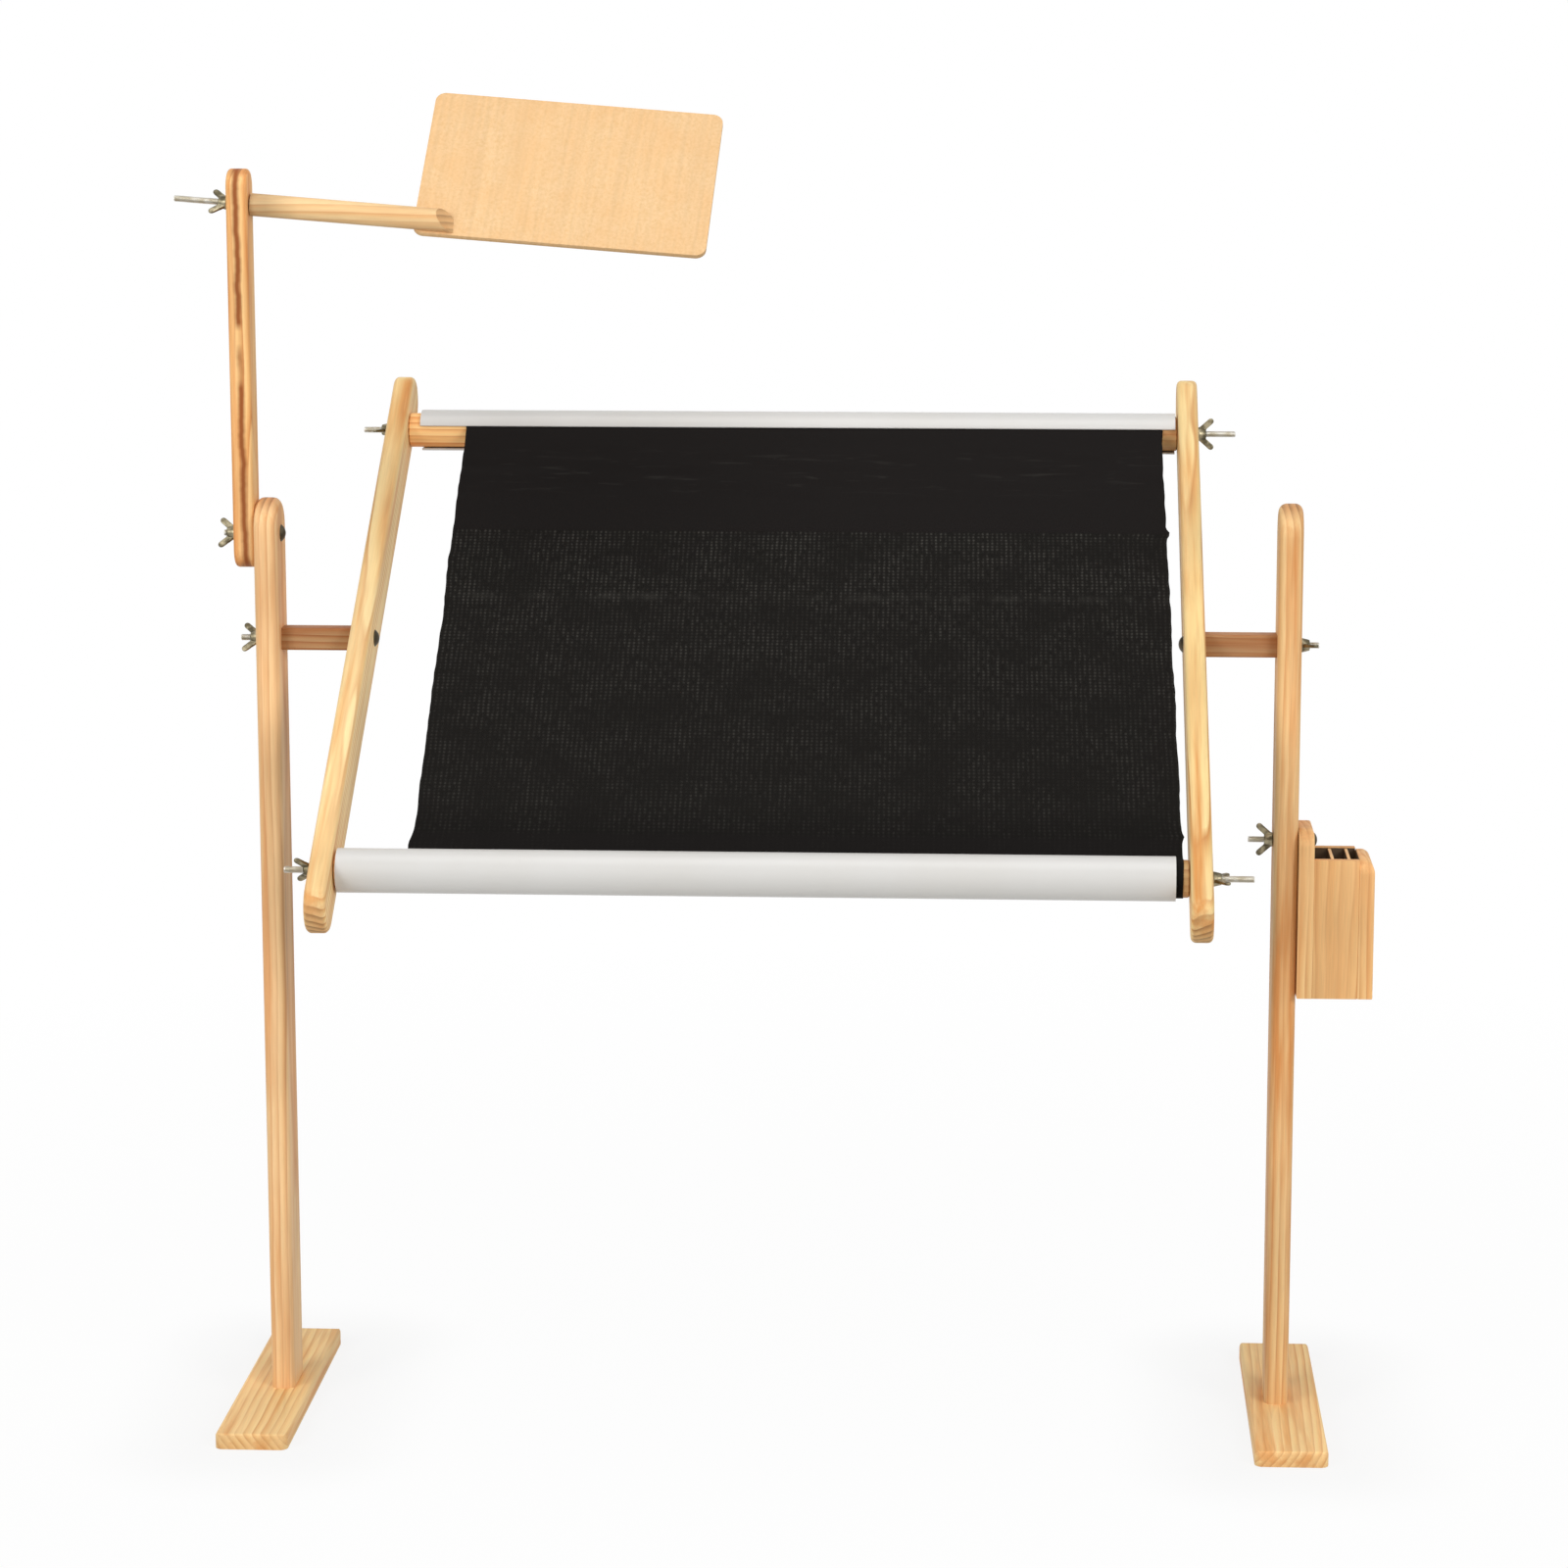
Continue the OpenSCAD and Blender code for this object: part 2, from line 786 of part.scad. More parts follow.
module box_inner_side() {
    ear_h = box_h + box_bolt_rise + box_ear_rise;
    color(pine) difference() {
        translate([box_x + box_side_t / 2, 0, 0]) side_board(ear_h, box_ear_r);
        translate([box_x, 0, box_bolt_h]) rod_x(hole_r, -overrun, box_side_t + overrun);
        translate([0, 0, box_bolt_h]) neck_pocket(box_cavity_x, -1);
        edge_round(box_cavity_x, ear_h, box_inner_round);
    }
}

module box_outer_side() {
    color(pine) difference() {
        translate([box_outer_x + box_side_t / 2, 0, 0]) side_board(box_h, box_corner_r);
        edge_round(box_outer_x + box_side_t, box_h, box_outer_round);
    }
}

module box_front() {
    color(pine) end_wall(-1);
}

module box_back() {
    color(pine) end_wall(1);
}

module box_bottom() {
    color(pine) translate([box_cavity_x, -cavity_depth / 2, box_low_z]) {
        cube([box_inner_w, cavity_depth, box_wall_t]);
    }
}

module box_divider_1() {
    color(pine_shade) divider(slot_1_w);
}

module box_divider_2() {
    color(pine_shade) divider(slot_1_w + divider_t + slot_2_w);
}

module box_bolt() {
    bolt_len = box_side_t + face_gap + post_t + box_bolt_out;
    color(zinc) translate([box_cavity_x, 0, box_bolt_h]) rotate([0, -90, 0]) round_head_bolt(bolt_len);
}

module box_nut() {
    color(zinc) translate([post_in - face_gap, 0, box_bolt_h]) rotate([0, -90, 0]) wing_nut();
}

left_foot();
right_foot();
left_post();
right_post();
foot_screws();
left_spacer();
right_spacer();
left_rail();
right_rail();
left_pivot_bolt();
right_pivot_bolt();
left_pivot_nut();
right_pivot_nut();
top_roller();
bottom_roller();
top_clip();
bottom_clip();
cloth();
top_left_bolt();
top_right_bolt();
bottom_left_bolt();
bottom_right_bolt();
top_left_nut();
top_right_nut();
bottom_left_nut();
bottom_right_nut();
chart_arm();
chart_arm_bolt();
chart_arm_nut();
chart_rod();
chart_rod_bolt();
chart_rod_nut();
chart_board();
chart_board_screws();
box_inner_side();
box_outer_side();
box_front();
box_back();
box_bottom();
box_divider_1();
box_divider_2();
box_bolt();
box_nut();
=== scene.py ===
"""Floor-standing scroll frame for embroidery: the looks of its timber, cloth, clips and hardware."""

import json
import math

import bpy
from bpy.props import FloatProperty, FloatVectorProperty, PointerProperty
from mathutils import Matrix, Vector, noise


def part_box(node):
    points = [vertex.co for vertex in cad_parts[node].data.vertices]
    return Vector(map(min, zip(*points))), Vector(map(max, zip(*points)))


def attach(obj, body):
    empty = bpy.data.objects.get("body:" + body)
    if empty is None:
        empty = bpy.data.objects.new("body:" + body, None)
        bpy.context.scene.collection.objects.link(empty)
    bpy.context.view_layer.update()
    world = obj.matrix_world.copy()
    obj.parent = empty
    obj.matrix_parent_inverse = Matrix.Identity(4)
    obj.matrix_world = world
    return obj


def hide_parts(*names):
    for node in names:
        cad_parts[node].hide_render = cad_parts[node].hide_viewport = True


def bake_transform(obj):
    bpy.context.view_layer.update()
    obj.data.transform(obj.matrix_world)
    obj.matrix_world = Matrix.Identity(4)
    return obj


bl_info = {
    "name": "Embroidery Frame Stand",
    "version": (1, 0, 0),
    "blender": (4, 5, 0),
    "location": "3D View > Sidebar > Embroidery Stand",
    "description": "Dresses the floor-standing embroidery frame in pine, cloth, plastic and zinc",
    "category": "Object",
}

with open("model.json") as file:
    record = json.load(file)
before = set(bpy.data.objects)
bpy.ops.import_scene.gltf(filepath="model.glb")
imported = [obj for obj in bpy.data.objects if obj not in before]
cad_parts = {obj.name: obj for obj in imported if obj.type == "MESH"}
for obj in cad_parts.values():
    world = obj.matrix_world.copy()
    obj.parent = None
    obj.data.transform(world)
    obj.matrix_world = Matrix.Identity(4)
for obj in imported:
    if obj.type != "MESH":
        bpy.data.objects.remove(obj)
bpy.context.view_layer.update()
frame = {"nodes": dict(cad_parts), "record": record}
NODES = frame["nodes"]

# Places shared by the pieces, in metres; IN and OUT are a part's faces, measured from the stand's middle
TILT = math.radians(34)
PIVOT_HEIGHT = 0.600
ROLLER_REACH = 0.245
RAIL_IN = 0.306
RAIL_OUT = 0.322
POST_IN = 0.376
POST_OUT = 0.394
FACE_GAP = 0.0003
ARM_BOLT_HEIGHT = 0.680
BOX_BOLT_HEIGHT = 0.451
CHART_DROOP = math.radians(4.5)
CHART_LEAN = math.radians(42)
ARM_MIDDLE = 0.4023
ARM_THICK = 0.016
CHART_HEIGHT = 0.928
ROD_START = 0.00899
ROD_END = 0.16499
BOARD_LAP = 0.034
BOARD_BACK = 0.0095

SCROLL = Matrix.Translation((0, 0, PIVOT_HEIGHT)) @ Matrix.Rotation(TILT, 4, "X")
UPPER_ROLLER = SCROLL @ Matrix.Translation((0, ROLLER_REACH, 0))
LOWER_ROLLER = SCROLL @ Matrix.Translation((0, -ROLLER_REACH, 0))
CHART = Matrix.Translation((-ARM_MIDDLE, 0, CHART_HEIGHT)) @ Matrix.Rotation(CHART_DROOP, 4, "Y")
TURN_RIGHT = Matrix.Rotation(math.radians(90), 4, "Y")
TURN_LEFT = Matrix.Rotation(math.radians(-90), 4, "Y")


# Colours and nodes

def linear(code):
    """An sRGB hex colour as the linear colour that nodes take."""
    parts = [int(code[i:i + 2], 16) / 255 for i in (1, 3, 5)]
    return tuple(c / 12.92 if c <= 0.04045 else ((c + 0.055) / 1.055) ** 2.4 for c in parts) + (1.0,)


def look_hex(colour):
    """A colour property as a hex code."""
    return "#" + "".join(f"{round(c * 255):02x}" for c in colour[:3])


def put(tree, kind, sockets=None, **settings):
    """Adds a node with its settings; a socket takes a value or another node's output."""
    made = tree.nodes.new(kind)
    for key, value in settings.items():
        setattr(made, key, value)
    for key, value in (sockets or {}).items():
        if isinstance(value, bpy.types.NodeSocket):
            tree.links.new(value, made.inputs[key])
        else:
            made.inputs[key].default_value = value
    return made


def ramp_stops(ramp, stops):
    """Sets a colour ramp's stops, each a place and a hex colour."""
    band = ramp.color_ramp
    while len(band.elements) < len(stops):
        band.elements.new(0.5)
    for stop, (place, code) in zip(band.elements, stops):
        stop.position = place
        stop.color = linear(code)


def new_material(name):
    """An empty node material and its tree."""
    made = bpy.data.materials.new(name)
    made.use_nodes = True
    made.node_tree.nodes.clear()
    return made, made.node_tree


def finish_material(tree, shader):
    """Leads the shader to the material's surface."""
    put(tree, "ShaderNodeOutputMaterial", {"Surface": shader.outputs["BSDF"]})


def wear(piece, *materials):
    """Gives a piece its materials in place of any it has."""
    slots = piece.data.materials
    if len(slots) == len(materials):
        for i, made in enumerate(materials):
            slots[i] = made
    else:
        slots.clear()
        for made in materials:
            slots.append(made)


# Planed pine, pale with narrow orange late wood, finished bare: a soft, nearly matt surface whose
# rings show as long lines on the faces and as arcs on the end grain.

# For each way of the grain: how the pattern turns to lie along it, and its direction
GRAIN_TURNS = {
    "up": ((0, 0, 0), (0, 0, 1)),
    "deep": ((math.radians(90), 0, 0), (0, 1, 0)),
    "rail": ((math.radians(90) - TILT, 0, 0), (0, math.cos(TILT), math.sin(TILT))),
    "across": ((0, math.radians(-90), 0), (1, 0, 0)),
}


def year_rings(tree, grown, wave, lines):
    """Draws the rings over the pale wood; gives the wood and each point's place within its ring."""
    look = bpy.context.scene.stand_timber
    # Slow wander of the rings, about 60 mm across the board and 300 mm along it
    slow = put(tree, "ShaderNodeMapping", {"Vector": grown.outputs["Vector"], "Scale": (16.0, 16.0, 3.4)})
    wander = put(tree, "ShaderNodeTexNoise", {
        "Vector": slow.outputs["Vector"], "Scale": 1.0, "Detail": 2.0, "Roughness": 0.5})
    flat = put(tree, "ShaderNodeVectorMath", {0: grown.outputs["Vector"], 1: (1.0, 1.0, 0.0)},
               operation="MULTIPLY")
    out = put(tree, "ShaderNodeVectorMath", {0: flat.outputs["Vector"]}, operation="LENGTH")
    shift = put(tree, "ShaderNodeMath", {
        0: wander.outputs["Fac"], 1: look.ring_wander * wave, 2: out.outputs["Value"]},
        operation="MULTIPLY_ADD")
    rings = put(tree, "ShaderNodeMath", {0: shift.outputs["Value"], 1: 1.0 / look.ring_width},
                operation="MULTIPLY")
    phase = put(tree, "ShaderNodeMath", {0: rings.outputs["Value"]}, operation="FRACT")
    ring = put(tree, "ShaderNodeValToRGB", {"Fac": phase.outputs["Value"]})
    ramp_stops(ring, [(0.0, "#f2ca90"), (0.40, "#edbf82"), (0.72, "#dea364"), (0.90, "#c67c40"),
                      (1.0, "#efc48a")])
    # Each year's ring has its own strength
    year = put(tree, "ShaderNodeMapping", {"Vector": grown.outputs["Vector"], "Scale": (70.0, 70.0, 5.0)})
    strength = put(tree, "ShaderNodeTexNoise", {
        "Vector": year.outputs["Vector"], "Scale": 1.0, "Detail": 1.0})
    amount = put(tree, "ShaderNodeMapRange", {
        "Value": strength.outputs["Fac"], "From Min": 0.35, "From Max": 0.65, "To Min": 0.25 * lines,
        "To Max": lines})
    wood = put(tree, "ShaderNodeMix", {0: amount.outputs["Result"], 6: linear(look_hex(look.pale)),
                                       7: ring.outputs["Color"]}, data_type="RGBA")
    return wood, phase


def resin_streaks(tree, grown, wood, pith, streaks):
    """Adds orange resin streaks, about 12 mm wide and 250 mm long."""
    look = bpy.context.scene.stand_timber
    long = put(tree, "ShaderNodeMapping", {
        "Vector": grown.outputs["Vector"], "Scale": (75.0, 75.0, 4.0),
        "Location": (pith[0] * 5.0, pith[1] * 3.0, 0.4)})
    resin = put(tree, "ShaderNodeTexNoise", {
        "Vector": long.outputs["Vector"], "Scale": 1.0, "Detail": 3.0, "Roughness": 0.6})
    stain = put(tree, "ShaderNodeMapRange", {
        "Value": resin.outputs["Fac"], "From Min": 0.48, "From Max": 0.66, "To Min": 0.0, "To Max": streaks})
    return put(tree, "ShaderNodeMix", {
        0: stain.outputs["Result"], 6: wood.outputs[2], 7: linear(look_hex(look.streak))}, data_type="RGBA")


def end_grain(tree, place, wood, phase, axis, sawn):
    """Browns the end grain, which drinks in more light."""
    look = bpy.context.scene.stand_timber
    ends = put(tree, "ShaderNodeVectorMath", {0: place.outputs["Normal"], 1: axis}, operation="DOT_PRODUCT")
    square_on = put(tree, "ShaderNodeMath", {0: ends.outputs["Value"]}, operation="ABSOLUTE")
    cut = put(tree, "ShaderNodeMapRange", {
        "Value": square_on.outputs["Value"], "From Min": 0.5, "From Max": 0.9, "To Min": 0.0,
        "To Max": 0.75 * sawn})
    late = put(tree, "ShaderNodeMapRange", {
        "Value": phase.outputs["Value"], "From Min": 0.35, "From Max": 0.85, "To Min": 1.0,
        "To Max": 1.0 - 0.55 * sawn})
    end_face = put(tree, "ShaderNodeVectorMath", {
        0: linear(look_hex(look.end))[:3], "Scale": late.outputs["Result"]}, operation="SCALE")
    return put(tree, "ShaderNodeMix", {
        0: cut.outputs["Result"], 6: wood.outputs[2], 7: end_face.outputs["Vector"]}, data_type="RGBA")


def resin_line(tree, place, wood, heart):
    """Draws a dark, broken resin line, about 4 mm wide, down the wood; heart is its place and its lean."""
    at, lean = heart
    lined = put(tree, "ShaderNodeMapping", {
        "Vector": place.outputs["Object"], "Rotation": (0.0, lean, 0.0), "Location": (-at, 0.0, 0.0)})
    beside = put(tree, "ShaderNodeSeparateXYZ", {"Vector": lined.outputs["Vector"]})
    bends = put(tree, "ShaderNodeMapping", {"Vector": place.outputs["Object"], "Scale": (0.0, 14.0, 42.0)})
    bend = put(tree, "ShaderNodeTexNoise", {
        "Vector": bends.outputs["Vector"], "Scale": 1.0, "Detail": 3.0, "Roughness": 0.6})
    # The line strays up to 2 mm to either side
    off = put(tree, "ShaderNodeMath", {0: bend.outputs["Fac"], 1: 0.0042, 2: beside.outputs["X"]},
              operation="MULTIPLY_ADD")
    off = put(tree, "ShaderNodeMath", {0: off.outputs["Value"], 1: 0.0021}, operation="SUBTRACT")
    off = put(tree, "ShaderNodeMath", {0: off.outputs["Value"]}, operation="ABSOLUTE")
    near = put(tree, "ShaderNodeMapRange", {
        "Value": off.outputs["Value"], "From Min": 0.0008, "From Max": 0.0036, "To Min": 1.0, "To Max": 0.0})
    gaps = put(tree, "ShaderNodeMapping", {
        "Vector": place.outputs["Object"], "Scale": (0.0, 8.0, 17.0), "Location": (0.0, 0.0, 3.3)})
    gap = put(tree, "ShaderNodeTexNoise", {"Vector": gaps.outputs["Vector"], "Scale": 1.0, "Detail": 2.0})
    kept = put(tree, "ShaderNodeMapRange", {
        "Value": gap.outputs["Fac"], "From Min": 0.38, "From Max": 0.47, "To Min": 0.10, "To Max": 0.95})
    dark = put(tree, "ShaderNodeMath", {0: near.outputs["Result"], 1: kept.outputs["Result"]},
               operation="MULTIPLY")
    return put(tree, "ShaderNodeMix", {
        0: dark.outputs["Value"], 6: wood.outputs[2], 7: linear("#8b4508")}, data_type="RGBA")


def painted_shade_along_x(tree, place, shade, fade):
    """Paints light and shade along x, from one shade at one x to another at a second; fade is two pairs of x
    and the shade there.
    """
    (from_x, from_shade), (to_x, to_shade) = fade
    along = put(tree, "ShaderNodeSeparateXYZ", {"Vector": place.outputs["Object"]})
    painted_shade_x = put(tree, "ShaderNodeMapRange", {
        "Value": along.outputs["X"], "From Min": from_x, "From Max": to_x, "To Min": from_shade,
        "To Max": to_shade})
    return put(tree, "ShaderNodeMath", {0: shade.outputs["Value"], 1: painted_shade_x.outputs["Result"]},
               operation="MULTIPLY")


def painted_slot_shade(tree, place, shade, inside):
    """Paints shade inside the box's slots, darkening their sides to about a tenth; inside is two corners of
    their space.
    """
    low, high = Vector(inside[0]), Vector(inside[1])
    middle = put(tree, "ShaderNodeVectorMath", {0: place.outputs["Object"], 1: (low + high) / 2},
                 operation="SUBTRACT")
    away = put(tree, "ShaderNodeVectorMath", {0: middle.outputs["Vector"]}, operation="ABSOLUTE")
    past = put(tree, "ShaderNodeVectorMath", {0: away.outputs["Vector"], 1: (high - low) / 2},
               operation="SUBTRACT")
    parts = put(tree, "ShaderNodeSeparateXYZ", {"Vector": past.outputs["Vector"]})
    most = put(tree, "ShaderNodeMath", {0: parts.outputs["X"], 1: parts.outputs["Y"]}, operation="MAXIMUM")
    most = put(tree, "ShaderNodeMath", {0: most.outputs["Value"], 1: parts.outputs["Z"]}, operation="MAXIMUM")
    # Painted shade: about a tenth as bright inside the slots
    dull = put(tree, "ShaderNodeMapRange", {
        "Value": most.outputs["Value"], "From Min": -0.0005, "From Max": 0.0, "To Min": 0.09, "To Max": 1.0})
    return put(tree, "ShaderNodeMath", {0: shade.outputs["Value"], 1: dull.outputs["Result"]},
               operation="MULTIPLY")


def pine(name, grain, pith, tone, streaks=0.6, wave=1.0, lines=1.0, sawn=1.0, inside=None, heart=None,
         fade=None):
    """Pine whose grain runs one way.

    pith is the place of the tree's middle beside the piece, and tone tints the wood. streaks, lines and sawn
    are the strength of its resin streaks, its rings and its end grain; wave is how much the rings wander.
    """
    made, tree = new_material(name)
    lay, axis = GRAIN_TURNS[grain]
    place = put(tree, "ShaderNodeTexCoord")
    laid = put(tree, "ShaderNodeMapping", {"Vector": place.outputs["Object"], "Rotation": lay})
    # The pith lies outside the board and leans a little, which draws long slanting rings
    lean = (math.radians(0.35 * wave), math.radians(-0.25 * wave), 0.0)
    grown = put(tree, "ShaderNodeMapping", {
        "Vector": laid.outputs["Vector"], "Rotation": lean, "Location": (pith[0], pith[1], 0.0)})
    wood, phase = year_rings(tree, grown, wave, lines)
    wood = resin_streaks(tree, grown, wood, pith, streaks)
    # Paler sapwood and browner wood take turns along the piece, about 150 mm apart
    far = put(tree, "ShaderNodeMapping", {
        "Vector": grown.outputs["Vector"], "Scale": (28.0, 28.0, 6.5),
        "Location": (tone[0] * 7.0, 1.3, pith[0] * 9.0)})
    turns = put(tree, "ShaderNodeTexNoise", {"Vector": far.outputs["Vector"], "Scale": 1.0, "Detail": 2.0})
    browner = put(tree, "ShaderNodeMapRange", {
        "Value": turns.outputs["Fac"], "From Min": 0.35, "From Max": 0.65, "To Min": 1.06, "To Max": 0.90})
    # Fibres: 0.3 mm wide in the real wood, drawn 0.8 mm wide so that they show
    fine = put(tree, "ShaderNodeMapping", {
        "Vector": grown.outputs["Vector"], "Scale": (1250.0, 1250.0, 45.0)})
    fibre = put(tree, "ShaderNodeTexNoise", {"Vector": fine.outputs["Vector"], "Scale": 1.0, "Detail": 2.0})
    fleck = put(tree, "ShaderNodeMapRange", {
        "Value": fibre.outputs["Fac"], "From Min": 0.3, "From Max": 0.7, "To Min": 0.93, "To Max": 1.03})
    wood = end_grain(tree, place, wood, phase, axis, sawn)
    if heart:
        wood = resin_line(tree, place, wood, heart)
    shade = put(tree, "ShaderNodeMath", {0: fleck.outputs["Result"], 1: browner.outputs["Result"]},
                operation="MULTIPLY")
    # Painted light and shade along x, on the rollers and the rod
    if fade:
        shade = painted_shade_along_x(tree, place, shade, fade)
    # Painted shade inside the box's slots
    if inside:
        shade = painted_slot_shade(tree, place, shade, inside)
    tinted = put(tree, "ShaderNodeVectorMath", {0: wood.outputs[2], 1: tone}, operation="MULTIPLY")
    toned = put(tree, "ShaderNodeVectorMath", {0: tinted.outputs["Vector"], "Scale": shade.outputs["Value"]},
                operation="SCALE")
    grainy = put(tree, "ShaderNodeBump", {
        "Strength": 0.25, "Distance": 0.0003, "Height": fibre.outputs["Fac"]})
    matt = put(tree, "ShaderNodeMapRange", {"Value": fibre.outputs["Fac"], "To Min": 0.5, "To Max": 0.66})
    shader = put(tree, "ShaderNodeBsdfPrincipled", {
        "Base Color": toned.outputs["Vector"], "Roughness": matt.outputs["Result"], "IOR": 1.5,
        "Normal": grainy.outputs["Normal"], "Specular IOR Level": 0.35})
    finish_material(tree, shader)
    return made


# Hardboard, pressed from pale wood fibre: even, matt, with small specks and faint press lines

def pressed_board():
    look = bpy.context.scene.stand_board
    made, tree = new_material("pressed_fibre_board")
    place = put(tree, "ShaderNodeTexCoord")
    laid = put(tree, "ShaderNodeMapping", {
        "Vector": place.outputs["Object"], "Rotation": (CHART_LEAN, -CHART_DROOP, 0.0)})
    # Fibre bundles of about 1 mm, drawn 2 mm so that they show
    speck = put(tree, "ShaderNodeTexNoise", {
        "Vector": laid.outputs["Vector"], "Scale": 420.0, "Detail": 3.0, "Roughness": 0.65})
    cloud = put(tree, "ShaderNodeTexNoise", {"Vector": laid.outputs["Vector"], "Scale": 38.0, "Detail": 3.0})
    # Press lines, 4 mm apart, faint
    lined = put(tree, "ShaderNodeMapping", {"Vector": laid.outputs["Vector"], "Scale": (250.0, 30.0, 9.0)})
    press = put(tree, "ShaderNodeTexNoise", {"Vector": lined.outputs["Vector"], "Scale": 1.0, "Detail": 1.0})
    tan = put(tree, "ShaderNodeValToRGB", {"Fac": speck.outputs["Fac"]})
    ramp_stops(tan, [(0.30, look_hex(look.speck)), (0.46, look_hex(look.face)), (0.70, "#ecc697")])
    deep = put(tree, "ShaderNodeMapRange", {
        "Value": cloud.outputs["Fac"], "From Min": 0.35, "From Max": 0.7, "To Min": 0.0, "To Max": 0.45})
    patchy = put(tree, "ShaderNodeMix", {0: deep.outputs["Result"], 6: tan.outputs["Color"],
                                         7: linear("#e6b57c")}, data_type="RGBA")
    streak = put(tree, "ShaderNodeMapRange", {
        "Value": press.outputs["Fac"], "From Min": 0.35, "From Max": 0.7, "To Min": 1.0, "To Max": 0.93})
    toned = put(tree, "ShaderNodeVectorMath", {0: patchy.outputs[2], "Scale": streak.outputs["Result"]},
                operation="SCALE")
    rough = put(tree, "ShaderNodeBump", {"Strength": 0.2, "Distance": 0.0003, "Height": speck.outputs["Fac"]})
    shader = put(tree, "ShaderNodeBsdfPrincipled", {
        "Base Color": toned.outputs["Vector"], "Roughness": 0.7, "IOR": 1.5, "Specular IOR Level": 0.3,
        "Normal": rough.outputs["Normal"]})
    finish_material(tree, shader)
    return made


# Extruded rigid PVC, white: smooth and slightly glossy, with faint draw lines along its length

def rigid_vinyl():
    look = bpy.context.scene.stand_clips
    made, tree = new_material("extruded_white_vinyl")
    place = put(tree, "ShaderNodeTexCoord")
    # Draw lines from the die, 2 mm apart round the strip
    drawn = put(tree, "ShaderNodeMapping", {"Vector": place.outputs["Object"], "Scale": (3.0, 500.0, 500.0)})
    lines = put(tree, "ShaderNodeTexNoise", {"Vector": drawn.outputs["Vector"], "Scale": 1.0, "Detail": 2.0})
    grime = put(tree, "ShaderNodeTexNoise", {"Vector": place.outputs["Object"], "Scale": 14.0, "Detail": 3.0})
    tint = put(tree, "ShaderNodeMix", {
        0: grime.outputs["Fac"], 6: linear(look_hex(look.plastic)), 7: linear("#ccc9c4")}, data_type="RGBA")
    gloss = put(tree, "ShaderNodeMapRange", {"Value": lines.outputs["Fac"], "To Min": 0.3, "To Max": 0.42})
    ridge = put(tree, "ShaderNodeBump", {
        "Strength": 0.12, "Distance": 0.0002, "Height": lines.outputs["Fac"]})
    shader = put(tree, "ShaderNodeBsdfPrincipled", {
        "Base Color": tint.outputs[2], "Roughness": gloss.outputs["Result"], "IOR": 1.53,
        "Normal": ridge.outputs["Normal"]})
    finish_material(tree, shader)
    return made


# Zinc-plated steel, passivated: grey with an olive cast, satin where it was cast

def zinc(name, colour, painted_reflection_colour, low, high, grit):
    """Plating of one colour, with painted reflections in patches of a second one; low and high are its
    roughness and grit is its grain.
    """
    made, tree = new_material(name)
    place = put(tree, "ShaderNodeTexCoord")
    # Plating grain, drawn about 1 mm across so that it shows
    grain = put(tree, "ShaderNodeTexNoise", {
        "Vector": place.outputs["Object"], "Scale": grit, "Detail": 4.0, "Roughness": 0.6})
    # Painted reflections: patches of the second colour stand in for the dark and pale surroundings that the
    # metal mirrors
    patch = put(tree, "ShaderNodeTexNoise", {
        "Vector": place.outputs["Object"], "Scale": 160.0, "Detail": 2.0})
    painted_reflection_mask = put(tree, "ShaderNodeMapRange", {"Value": patch.outputs["Fac"], "From Min": 0.4, "From Max": 0.62})
    tint = put(tree, "ShaderNodeMix", {
        0: painted_reflection_mask.outputs["Result"], 6: linear(look_hex(colour)), 7: linear(painted_reflection_colour)}, data_type="RGBA")
    satin = put(tree, "ShaderNodeMapRange", {"Value": grain.outputs["Fac"], "To Min": low, "To Max": high})
    pitted = put(tree, "ShaderNodeBump", {
        "Strength": 0.2, "Distance": 0.0001, "Height": grain.outputs["Fac"]})
    shader = put(tree, "ShaderNodeBsdfPrincipled", {
        "Base Color": tint.outputs[2], "Metallic": 1.0, "Roughness": satin.outputs["Result"],
        "Normal": pitted.outputs["Normal"]})
    finish_material(tree, shader)
    return made
